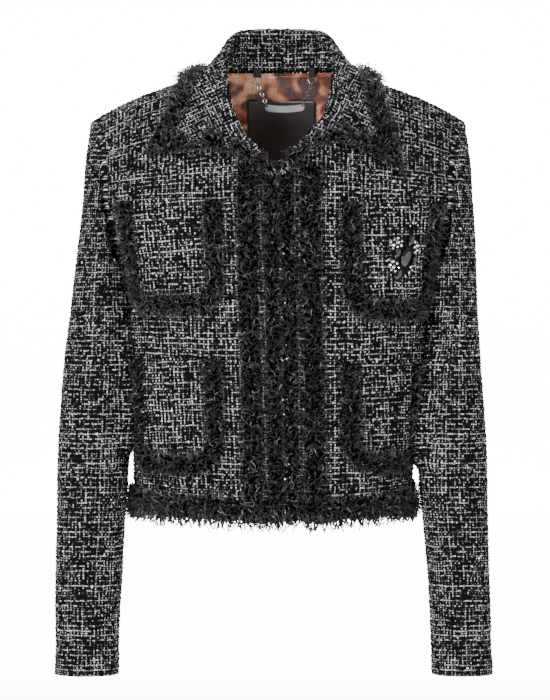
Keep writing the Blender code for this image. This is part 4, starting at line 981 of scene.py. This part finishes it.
def pocket_drop(share, width, depth):
    """The pocket's bottom edge at a share of its width."""
    reach = min(share, 1 - share) * width
    if reach >= POCKET_CORNER:
        return depth
    return depth - POCKET_CORNER + math.sqrt(max(POCKET_CORNER ** 2 - (POCKET_CORNER - reach) ** 2, 0))


rulers = {side: ruled(fronts[side]) for side in (-1, 1)}
pocket_shares = 0.5 - 0.5 * np.cos(np.linspace(0, math.pi, 37))
pocket_tweed = tweed_material("black_white_tweed_pocket", -0.02, -0.02, turn=-2)
for name, side, inner_x, top_z, width, depth in POCKETS:
    start = reach_to(rulers[side], side * inner_x, top_z - depth / 2)
    points = []
    flat = []
    for row in np.linspace(0, 1, 37):
        drops = [pocket_drop(share, width, depth) * row for share in pocket_shares]
        points.append([spot(rulers[side], start + width * share, top_z - drop, LAID_ON)[0]
                       for share, drop in zip(pocket_shares, drops)])
        flat.append([(side * width * share + inner_x * 3.1, -drop + top_z * 1.7)
                     for share, drop in zip(pocket_shares, drops)])
    points = np.array(points)
    normals = grid_normals(points, (side * 0.5, -1, 0))
    pocket = skin(f"pocket_{name}_cloth", points, np.array(flat), (pocket_tweed,))
    slubs(pocket, facings(normals), pocket_tweed, 70, POCKET_CLOTH)
    walled(pocket, POCKET_CLOTH, facings(normals), raised=True)
    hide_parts(f"pocket_{name}")
    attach(pocket, "jacket")


# ---------------------------------------------------------------- Fringe
# Black ribbon yarn, cut short and sewn down in rows so close that the curled ends stand up as a dense
# crowned band: along the collar, down the fronts in two rows a side, round the pockets and round the hem.
# Ribbon yarn: a soft viscose tape, near black, with a dull gleam on its folds; its colour holds painted
# highlight on the ends and painted shade under them.
ribbon_yarn, tree, shader = plain_material("black_ribbon_yarn", "#0b0b0c", 0.36)
strand_key = add(tree, "ShaderNodeAttribute", out=2, attribute_name="strand")
lot = add(tree, "ShaderNodeTexWhiteNoise", {"W": strand_key}, noise_dimensions="1D")
# Each loose end takes its own grey at random: partly the yarn's own tone, and the lightest greys are painted
# highlight.
tone = add(tree, "ShaderNodeValToRGB", {0: lot}, stops=(
    (0.0, "#020202"), (0.5, "#070708"), (0.85, "#29292b"), (1.0, "#68686c")))
# The band under the ends carries no strand number. It is painted near black, darker than the yarn, as painted
# shade between the ends, and has no gleam.
loose = add(tree, "ShaderNodeMath", {0: strand_key, 1: 0.5}, operation="GREATER_THAN")
tone = add(tree, "ShaderNodeMix", {"Factor": loose, 6: colour("#020202"), 7: tone}, out=2, data_type="RGBA")
tree.links.new(tone, shader.inputs["Base Color"])
tree.links.new(add(tree, "ShaderNodeMath", {0: loose, 1: 0.5}, operation="MULTIPLY"),
               shader.inputs["Specular IOR Level"])
fine_relief(tree, shader, 1300.0, 0.4, 0.0003)


def ribbon_tree():
    """Curled ends of ribbon on a band: points on its upper side, a bent strip on each."""
    tree, given, sockets = begun("ribbon_ends", {
        "Ends per Square Metre": "Float", "Length": "Float", "Width": "Float", "Curl": "Float",
        "Hang": "Vector"})
    upper = add(tree, "GeometryNodeInputNamedAttribute", {"Name": "upper"}, data_type="BOOLEAN")
    scatter = add(tree, "GeometryNodeDistributePointsOnFaces", {
        "Mesh": given["Geometry"], "Selection": upper, "Density": given["Ends per Square Metre"],
        "Seed": given["Seed"]}).node
    lot = add(tree, "FunctionNodeRandomValue", {"Min": (-1, -1, -1), "Max": (1, 1, 1), "Seed": given["Seed"]},
              data_type="FLOAT_VECTOR")
    way = add(tree, "ShaderNodeVectorMath", {0: scatter.outputs["Normal"], "Scale": 0.5}, operation="SCALE")
    way = add(tree, "ShaderNodeVectorMath", {0: way, 1: lot}, operation="ADD")
    lean = add(tree, "GeometryNodeInputNamedAttribute", {"Name": "lean"}, data_type="FLOAT_VECTOR")
    way = add(tree, "ShaderNodeVectorMath", {0: way, 1: lean}, operation="ADD")
    way = add(tree, "ShaderNodeVectorMath", {0: way, 1: given["Hang"]}, operation="ADD")
    turned = spun(tree, way)
    tip = add(tree, "ShaderNodeCombineXYZ", {2: given["Length"]})
    line = add(tree, "GeometryNodeCurvePrimitiveLine", {"End": tip})
    line = add(tree, "GeometryNodeResampleCurve", {"Curve": line, "Count": 4})
    size = add(tree, "FunctionNodeRandomValue", {2: 0.55, 3: 1.3, "Seed": 9}, out=1, data_type="FLOAT")
    ends = add(tree, "GeometryNodeInstanceOnPoints", {"Points": scatter.outputs["Points"], "Instance": line,
                                                      "Rotation": turned, "Scale": size})
    number = add(tree, "ShaderNodeMath", {0: add(tree, "GeometryNodeInputIndex"), 1: 1.0}, operation="ADD")
    ends = add(tree, "GeometryNodeStoreNamedAttribute", {"Geometry": ends, "Name": "strand", "Value": number},
               data_type="FLOAT", domain="INSTANCE")
    ends = add(tree, "GeometryNodeRealizeInstances", {"Geometry": ends})
    strand = add(tree, "GeometryNodeInputNamedAttribute", {"Name": "strand"}, data_type="FLOAT")
    share = add(tree, "GeometryNodeSplineParameter")
    key = add(tree, "ShaderNodeMath", {0: strand, 1: 3.17}, operation="MULTIPLY")
    run = add(tree, "ShaderNodeMath", {0: share, 1: 2.6}, operation="MULTIPLY")
    wave_at = add(tree, "ShaderNodeCombineXYZ", {0: key, 1: run})
    wave = add(tree, "ShaderNodeTexNoise", {"Vector": wave_at, "Scale": 1.0, "Detail": 0.0}, out=1)
    wave = add(tree, "ShaderNodeVectorMath", {0: wave, 1: (-0.5, -0.5, -0.5)}, operation="ADD")
    grow = add(tree, "ShaderNodeMath", {0: share, 1: given["Curl"]}, operation="MULTIPLY")
    wave = add(tree, "ShaderNodeVectorMath", {0: wave, "Scale": grow}, operation="SCALE")
    ends = add(tree, "GeometryNodeSetPosition", {"Geometry": ends, "Offset": wave})
    half = add(tree, "ShaderNodeMath", {0: given["Width"], 1: 0.5}, operation="MULTIPLY")
    strip = add(tree, "GeometryNodeCurvePrimitiveCircle", {"Resolution": 3, "Radius": half})
    strip = add(tree, "GeometryNodeTransform", {"Geometry": strip, "Scale": (1.3, 0.4, 1)})
    ends = add(tree, "GeometryNodeCurveToMesh", {"Curve": ends, "Profile Curve": strip, "Fill Caps": True})
    joined = tree.nodes.new("GeometryNodeJoinGeometry")
    tree.links.new(ends, joined.inputs[0])
    tree.links.new(given["Geometry"], joined.inputs[0])
    whole = add(tree, "GeometryNodeRealizeInstances", {"Geometry": joined.outputs[0]})
    ended(tree, whole, given)
    return tree, sockets


RIBBON_TREE = ribbon_tree()
ENDS_PER_M2 = 205000.0
EDGE_LEAN = 0.9
RIBBON_CURL = 12.0
CROWN = ((0.0, 0.0), (0.07, 0.5), (0.25, 0.85), (0.5, 1.0), (0.75, 0.85), (0.93, 0.5), (1.0, 0.0))


def fringe(name, near, under, far, normals, height, seed, length=7.0, hang=(0, 0, 0), ends=1.0, width=1.15):
    """A sewn band of ribbon yarn over its CAD node, from its near to its far edge."""
    rings = []
    leans = []
    wobble = np.random.default_rng(seed).uniform((0.72, -0.06, -0.06), (1.2, 0.2, 0.2), (len(near), 3))
    for start, middle, end, normal, (crown, before, beyond) in zip(near, under, far, normals, wobble):
        start = start + (start - middle) * before
        end = end + (end - middle) * beyond
        ring = []
        for share, rise in CROWN:
            if share <= 0.5:
                on = start + (middle - start) * 2 * share
            else:
                on = middle + (end - middle) * (2 * share - 1)
            ring.append(on + normal * height * rise * crown)
        ring.append(middle)
        rings.append(ring)
        across = (end - start) / np.linalg.norm(end - start)
        leans += [across * (2 * share - 1) * EDGE_LEAN for share, _ in CROWN] + [across * 0]
    points = np.array(rings)
    stations, corners, _ = points.shape
    faces = [(a * corners + b, a * corners + (b + 1) % corners, (a + 1) * corners + (b + 1) % corners,
              (a + 1) * corners + b) for a in range(stations - 1) for b in range(corners)]
    upper = [b < corners - 2 for a in range(stations - 1) for b in range(corners)]
    faces += [tuple(range(corners)), tuple(range((stations - 1) * corners, stations * corners))]
    upper += [False, False]
    mesh = bpy.data.meshes.new(name)
    mesh.from_pydata((points.reshape(-1, 3) * MM).tolist(), [], faces)
    mark = mesh.attributes.new("upper", "BOOLEAN", "FACE")
    mark.data.foreach_set("value", upper)
    lean = mesh.attributes.new("lean", "FLOAT_VECTOR", "POINT")
    lean.data.foreach_set("vector", np.array(leans, np.float32).ravel())
    bm = bmesh.new()
    bm.from_mesh(mesh)
    bmesh.ops.recalc_face_normals(bm, faces=bm.faces[:])
    if bm.calc_volume(signed=True) < 0:
        bmesh.ops.reverse_faces(bm, faces=bm.faces[:])
    bm.to_mesh(mesh)
    bm.free()
    made = grown(name + "_yarn", mesh, *RIBBON_TREE, {
        "Ends per Square Metre": ENDS_PER_M2 * ends, "Length": length * MM, "Width": width * MM,
        "Curl": RIBBON_CURL * MM, "Hang": hang, "Seed": seed, "Finish": ribbon_yarn}, smooth=False)
    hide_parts(name)
    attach(made, "jacket")


def lines_on(ruler, begins, ends, lift):
    """Near, middle and far lines of a band on a front, and its normals, from (reach, z) pairs."""
    lines = [[], [], [], []]
    for (start, start_z), (end, end_z) in zip(begins, ends):
        lines[0].append(spot(ruler, start, start_z, lift)[0])
        middle, normal = spot(ruler, 0.5 * (start + end), 0.5 * (start_z + end_z), lift)
        lines[1].append(middle)
        lines[2].append(spot(ruler, end, end_z, lift)[0])
        lines[3].append(normal)
    return [np.array(line) for line in lines]


BED, BAND_LIFT = 3.2, 0.5
seed = 20
for side, hand in ((-1, "right"), (1, "left")):
    for name, start, end, top_z in (("inner", -0.7, 17.0, -117), ("outer", 22.6, 44.5, -108)):
        heights = np.linspace(top_z, -467.0, 90)
        edges = []
        for reach in (start + 1.5, end - 1.5):
            straight = spot(rulers[side], reach, -128.0)[0][0]
            edges.append([(reach if z < -128 else reach_to(rulers[side], straight, z), z) for z in heights])
        band = lines_on(rulers[side], *edges, BAND_LIFT)
        seed += 1
        fringe(f"fringe_{name}_{hand}", *band, BED, seed)


def pocket_outline(width, depth, inset, count):
    """The U of a pocket from its inner top corner round to its outer one, as reach and drop."""
    radius = POCKET_CORNER - inset
    points = [(inset, 0.0)]
    for centre_x, start in ((POCKET_CORNER, 180), (width - POCKET_CORNER, 270)):
        for turn in np.linspace(start, start + 90, 15):
            angle = math.radians(turn)
            points.append((centre_x + radius * math.cos(angle),
                           depth - POCKET_CORNER - radius * math.sin(angle)))
    points.append((width - inset, 0.0))
    return spread(np.array(points), np.linspace(0, 1, count))


POCKET_BAND = 18.0
for name, side, inner_x, top_z, width, depth in POCKETS:
    start = reach_to(rulers[side], side * inner_x, top_z - depth / 2)
    begins, ends = ([(start + reach, top_z - drop) for reach, drop in pocket_outline(width, depth, inset, 80)]
                    for inset in (POCKET_BAND - 1.0, -0.5))
    band = lines_on(rulers[side], begins, ends, LAID_ON + POCKET_CLOTH + 0.3)
    seed += 1
    fringe(f"fringe_pocket_{name}", *band, BED, seed)


# The hem's fringe goes all round on the outside of the wall and hangs a little past the edge.
def edge_band(points, normals, columns, width, lift):
    """Near, middle and far points and a normal for each column, measured up from the hem."""
    found = []
    for column in columns:
        line, facing = points[:, column], normals[:, column]
        length = lengths(line)
        normal = between(width / 2, length, facing)
        normal /= np.linalg.norm(normal)
        found.append([between(at, length, line) + normal * lift for at in (width, width / 2, 0.0)] + [normal])
    return found


HEM_BAND = 17.0
columns = len(SHARES)
hem = edge_band(*fronts[-1], range(columns), HEM_BAND, BAND_LIFT)
hem += edge_band(back_points, back_normals, range(1, back_points.shape[1] - 1), HEM_BAND, BAND_LIFT)
hem += edge_band(*fronts[1], range(columns - 1, -1, -1), HEM_BAND, BAND_LIFT)
hem = np.array(hem).transpose(1, 0, 2)
hem[1:3, :, 2] -= np.array((2.0, 3.6))[:, None]
# The lower edge is cut in teeth, on scallops twice as wide as HALF_SCALLOP.
TOOTH, HALF_SCALLOP = 2.6, 7.0
run = lengths(hem[2])
stations = np.linspace(0.0, run[-1], int(run[-1] / TOOTH))
hem = np.array([between(stations, run, line) for line in hem])
teeth = np.random.default_rng(8)
knots = np.arange(0.0, run[-1] + 2 * HALF_SCALLOP, HALF_SCALLOP)
scallop = np.interp(stations, knots, teeth.uniform(-1.2, 1.6, len(knots)))
hem[2, :, 2] -= scallop + teeth.uniform(-0.4, 1.8, len(stations))
fringe("fringe_hem", *hem, BED, 41, length=9.5, hang=(0, 0, -0.7), ends=1.15, width=1.6)

# The collar's fringe starts at the closure, goes round each point with a mitre, and on round the back.
COLLAR_BAND = 20.0
fall = collar_points[ROLL_ROW + 1:]
fall_tree = BVHTree.FromPolygons([Vector(point) for point in fall.reshape(-1, 3)], quads_of(fall).tolist())
edge = collar_points[-1]
edge_facing = collar_normals[-1]
roll_line = collar_points[ROLL_ROW]
corners = [round(tip / (len(coarse) - 1) * (COLLAR_COLUMNS - 1)) for tip in (RIGHT_TIP, LEFT_TIP)]
inward_runs = []
for first, last in zip((0, *corners), (*corners, COLLAR_COLUMNS - 1)):
    run = edge[first:last + 1]
    facing = edge_facing[first:last + 1]
    inward = np.cross(facing, np.gradient(run, axis=0))
    inward /= np.linalg.norm(inward, axis=1, keepdims=True)
    if np.sum(inward * (roll_line[first:last + 1] - run)) < 0:
        inward = -inward
    room = np.array([np.linalg.norm(roll_line - point, axis=1).min() for point in run])
    width = np.clip(0.85 * room, 8.0, COLLAR_BAND)
    inward_runs.append((run, run + inward * width[:, None], facing, width))
collar_band = []
for number, (run, inner, facing, width) in enumerate(inward_runs):
    others = np.concatenate([other[0] for beside, other in enumerate(inward_runs) if beside != number])
    gaps = np.array([np.linalg.norm(others - point, axis=1).min() for point in inner])
    kept = inner[(gaps > 0.95 * width) | (width < 0.9 * COLLAR_BAND)]
    count = 30 if number != 1 else 110
    outer = spread(np.concatenate((run, facing), axis=1), np.linspace(0, 1, count))
    nearer = spread(kept, np.linspace(0, 1, count))
    for start, end in zip(nearer, outer):
        spots = []
        for point in (start, 0.5 * (start + end[:3]), end[:3]):
            found, normal, _, _ = fall_tree.find_nearest(Vector(point))
            normal = np.array(normal) if np.dot(normal, end[3:]) > 0 else -np.array(normal)
            spots.append(np.array(found) + normal * 0.6)
        collar_band.append(spots + [end[3:]])
collar_band = np.array(collar_band)
fringe("fringe_collar", *collar_band.transpose(1, 0, 2), BED, 42)


# ---------------------------------------------------------------- Back neck
# The printed satin lining of the back, and a bare leather patch sewn on it under the neck.
LINING_DEPTH = CLOTH + 0.5
LINING = LEATHER = 1.0
keep = slice(BELOW_ROWS, len(LEVELS) - 1)
half_span = 40
columns = slice(back_middle - half_span, back_middle + half_span + 1)
drawn = back_points[keep, columns] - back_normals[keep, columns] * LINING_DEPTH
across_cloth = np.repeat(np.linspace(-170, 170, drawn.shape[1])[None, :], len(drawn), 0)
lining = skin("back_lining_satin", drawn, np.stack((across_cloth, drawn[..., 2]), axis=-1), (satin,))
walled(lining, LINING, facings(back_normals[keep, columns]))
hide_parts("back_lining")
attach(lining, "jacket")


def patchy(tree, shader, scale, detail, smooth, rough):
    """Cloudy patches that are smoother and rougher in turn, and the cloud they follow."""
    place = add(tree, "ShaderNodeTexCoord", out=3)
    cloud = add(tree, "ShaderNodeTexNoise", {"Vector": place, "Scale": scale, "Detail": detail})
    tree.links.new(add(tree, "ShaderNodeMapRange", {0: cloud, 3: smooth, 4: rough}),
                   shader.inputs["Roughness"])
    return cloud


# Leather: thin black calf with a fine grain and a soft sheen, darker in the pores.
leather, tree, shader = plain_material("black_calf_leather", "#1e1e20", 0.4)
place = add(tree, "ShaderNodeTexCoord", out=3)
pores = add(tree, "ShaderNodeTexVoronoi", {"Vector": place, "Scale": 1100.0}, feature="SMOOTH_F1")
broad = patchy(tree, shader, 40.0, 3.0, 0.3, 0.48)
tone = add(tree, "ShaderNodeMix", {"Factor": broad, 6: colour("#151516"), 7: colour("#38383b")}, out=2,
           data_type="RGBA")
tree.links.new(tone, shader.inputs["Base Color"])
tree.links.new(add(tree, "ShaderNodeBump", {"Strength": 0.35, "Distance": 0.0003, "Height": pores}),
               shader.inputs["Normal"])

back_half = {1: (back_points[:, back_middle:], back_normals[:, back_middle:]),
             -1: (back_points[:, back_middle::-1], back_normals[:, back_middle::-1])}
back_rulers = {side: ruled(half) for side, half in back_half.items()}


def inside(x, z, depth):
    """A spot `depth` mm inside the back's outer face."""
    ruler = back_rulers[1 if x >= 0 else -1]
    return spot(ruler, reach_to(ruler, x, z), z, -depth)


LABEL_X, LABEL_Z = (-35.0, 43.0), (-106.0, -27.0)
label_grid = np.array([[inside(x, z, LINING_DEPTH + LINING + LAID_ON) for x in np.linspace(*LABEL_X, 28)]
                       for z in np.linspace(*LABEL_Z, 28)])
label_points, label_facing = label_grid[:, :, 0], label_grid[:, :, 1]
label = skin("neck_label_leather", label_points, label_points[..., (0, 2)], (leather,))
walled(label, LEATHER, facings(label_facing))
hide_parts("neck_label")
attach(label, "jacket")


# ---------------------------------------------------------------- Hanger
# Two black tape tabs hold wire rings under the back neck. Two short chains and a curved bar hang from them.
# All of the metal is polished and plated.
chrome, tree, shader = plain_material("polished_chrome_plate", "#c9cacc", 0.12, 1.0)
patchy(tree, shader, 90.0, 3.0, 0.1, 0.24)
tape, tree, shader = plain_material("woven_black_tape", "#030303", 0.9)
place = add(tree, "ShaderNodeTexCoord", out=3)
ribs = add(tree, "ShaderNodeTexWave", {"Vector": place, "Scale": 320.0, "Distortion": 0.6},
           bands_direction="Z")
tree.links.new(add(tree, "ShaderNodeBump", {"Strength": 0.5, "Distance": 0.0003, "Height": ribs}),
               shader.inputs["Normal"])


def refinish(names, finish):
    """Give CAD nodes their finish."""
    for name in names:
        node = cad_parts[name]
        node = node if isinstance(node, bpy.types.Object) else bpy.data.objects[name]
        node.data.materials.clear()
        node.data.materials.append(finish)


refinish(("ring_left", "ring_right", "chain_left", "chain_right", "hanger_bar"), chrome)
refinish(("tab_left", "tab_right"), tape)


# ---------------------------------------------------------------- Jewels
# Five dark faceted drops down the closure, and a brooch on the chest pocket with large dark stones on a
# gunmetal plate and clusters of small clear ones between them.
jet, tree, shader = plain_material("jet_black_glass", "#030304", 0.06)
shader.inputs["Specular IOR Level"].default_value = 0.6
patchy(tree, shader, 260.0, 2.0, 0.04, 0.16)
gunmetal, tree, shader = plain_material("gunmetal_plate", "#141416", 0.35, 1.0)
patchy(tree, shader, 500.0, 2.0, 0.22, 0.42)
refinish([f"closure_jewel_{number}" for number in range(1, 6)], jet)
refinish([f"brooch_stone_{name}" for name in ("centre", "top", "bottom", "left", "right")], jet)
refinish(("brooch_plate",), gunmetal)

# Clear stones: small foil-backed glass, so that each facet mirrors light or dark.
clear_glass, tree, shader = plain_material("foil_backed_clear_glass", "#eef0f3", 0.06, 1.0)
cloud = patchy(tree, shader, 700.0, 1.0, 0.03, 0.12)
tone = add(tree, "ShaderNodeMix", {"Factor": cloud, 6: colour("#8d9096"), 7: colour("#ffffff")}, out=2,
           data_type="RGBA")
tree.links.new(tone, shader.inputs["Base Color"])


def stone_tree():
    """A faceted crown on each point, as large as the point says and turned its way."""
    tree, given, sockets = begun("set_stones", {"Facets": "Int"})
    crown = add(tree, "GeometryNodeMeshCone", {
        "Vertices": given["Facets"], "Radius Top": 0.5, "Radius Bottom": 1.0, "Depth": 0.75})
    facing = add(tree, "GeometryNodeInputNamedAttribute", {"Name": "facing"}, data_type="FLOAT_VECTOR")
    tilt = add(tree, "FunctionNodeRandomValue", {"Min": (-0.3, -0.3, -0.3), "Max": (0.3, 0.3, 0.3),
                                                 "Seed": given["Seed"]}, data_type="FLOAT_VECTOR")
    facing = add(tree, "ShaderNodeVectorMath", {0: facing, 1: tilt}, operation="ADD")
    turned = add(tree, "FunctionNodeAlignRotationToVector", {"Vector": facing}, axis="Z")
    size = add(tree, "GeometryNodeInputNamedAttribute", {"Name": "size"}, data_type="FLOAT")
    stones = add(tree, "GeometryNodeInstanceOnPoints", {"Points": given["Geometry"], "Instance": crown,
                                                        "Rotation": turned, "Scale": size})
    stones = add(tree, "GeometryNodeRealizeInstances", {"Geometry": stones})
    ended(tree, stones, given)
    return tree, sockets


STONE_TREE = stone_tree()


def stones_on(name, places, lift, seed):
    """Small stones on the left front: each place is x, z and radius in mm."""
    points = []
    facing = []
    for x, z, _ in places:
        point, normal = spot(rulers[1], reach_to(rulers[1], x, z), z, lift)
        points.append(point * MM)
        facing.append(normal)
    mesh = bpy.data.meshes.new(name)
    mesh.from_pydata([tuple(point) for point in points], [], [])
    way = mesh.attributes.new("facing", "FLOAT_VECTOR", "POINT")
    way.data.foreach_set("vector", np.array(facing, np.float32).ravel())
    size = mesh.attributes.new("size", "FLOAT", "POINT")
    size.data.foreach_set("value", [radius * MM for _, _, radius in places])
    made = grown(name, mesh, *STONE_TREE, {"Facets": 8, "Seed": seed, "Finish": clear_glass}, smooth=False)
    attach(made, "jacket")


# x, z, radius of the brooch's small stones, cluster by cluster
BROOCH_SMALL = (
    (118.5, -190.5, 2.3), (122.5, -187.3, 2.2), (126.4, -190.8, 2.7), (121.5, -194.2, 2.4),
    (126.9, -186.5, 1.8), (129.8, -194.2, 2.0), (125.6, -196.2, 2.0), (117.4, -194.8, 1.8),
    (120.6, -198.2, 1.6), (130.6, -189.6, 1.6), (143.6, -190.2, 2.2), (146.6, -193.6, 2.5),
    (143.2, -195.4, 2.1), (146.4, -198.6, 2.2), (143.8, -201.0, 1.8), (148.4, -201.4, 1.5),
    (116.2, -211.2, 1.9), (120.2, -213.2, 2.6), (117.2, -217.0, 2.2), (121.4, -218.6, 2.5),
    (124.8, -215.0, 1.8), (119.0, -221.6, 2.0), (123.4, -223.2, 1.7), (139.6, -218.0, 2.4),
    (143.4, -216.4, 2.1), (146.6, -218.2, 1.6), (140.2, -222.4, 2.2), (136.6, -224.6, 1.8),
    (133.0, -228.4, 1.5), (126.8, -219.8, 1.3),
)
stones_on("brooch_small_stones", BROOCH_SMALL, LAID_ON + POCKET_CLOTH + 3.0, 3)
# x, z, radius of those beside the five drops
CLOSURE_SMALL = (
    (5.5, -205.5, 1.2), (2.0, -221.5, 1.3), (6.8, -220.0, 1.0), (7.2, -257.0, 1.3), (3.5, -272.4, 1.2),
    (8.5, -302.4, 1.2), (4.2, -318.4, 1.3), (8.8, -317.0, 1.0), (2.8, -360.5, 1.2), (9.6, -360.0, 1.1),
    (6.0, -376.5, 1.4), (11.2, -430.2, 1.2), (7.0, -446.2, 1.3), (12.0, -444.5, 1.0),
)
stones_on("closure_small_stones", CLOSURE_SMALL, 7.6, 4)
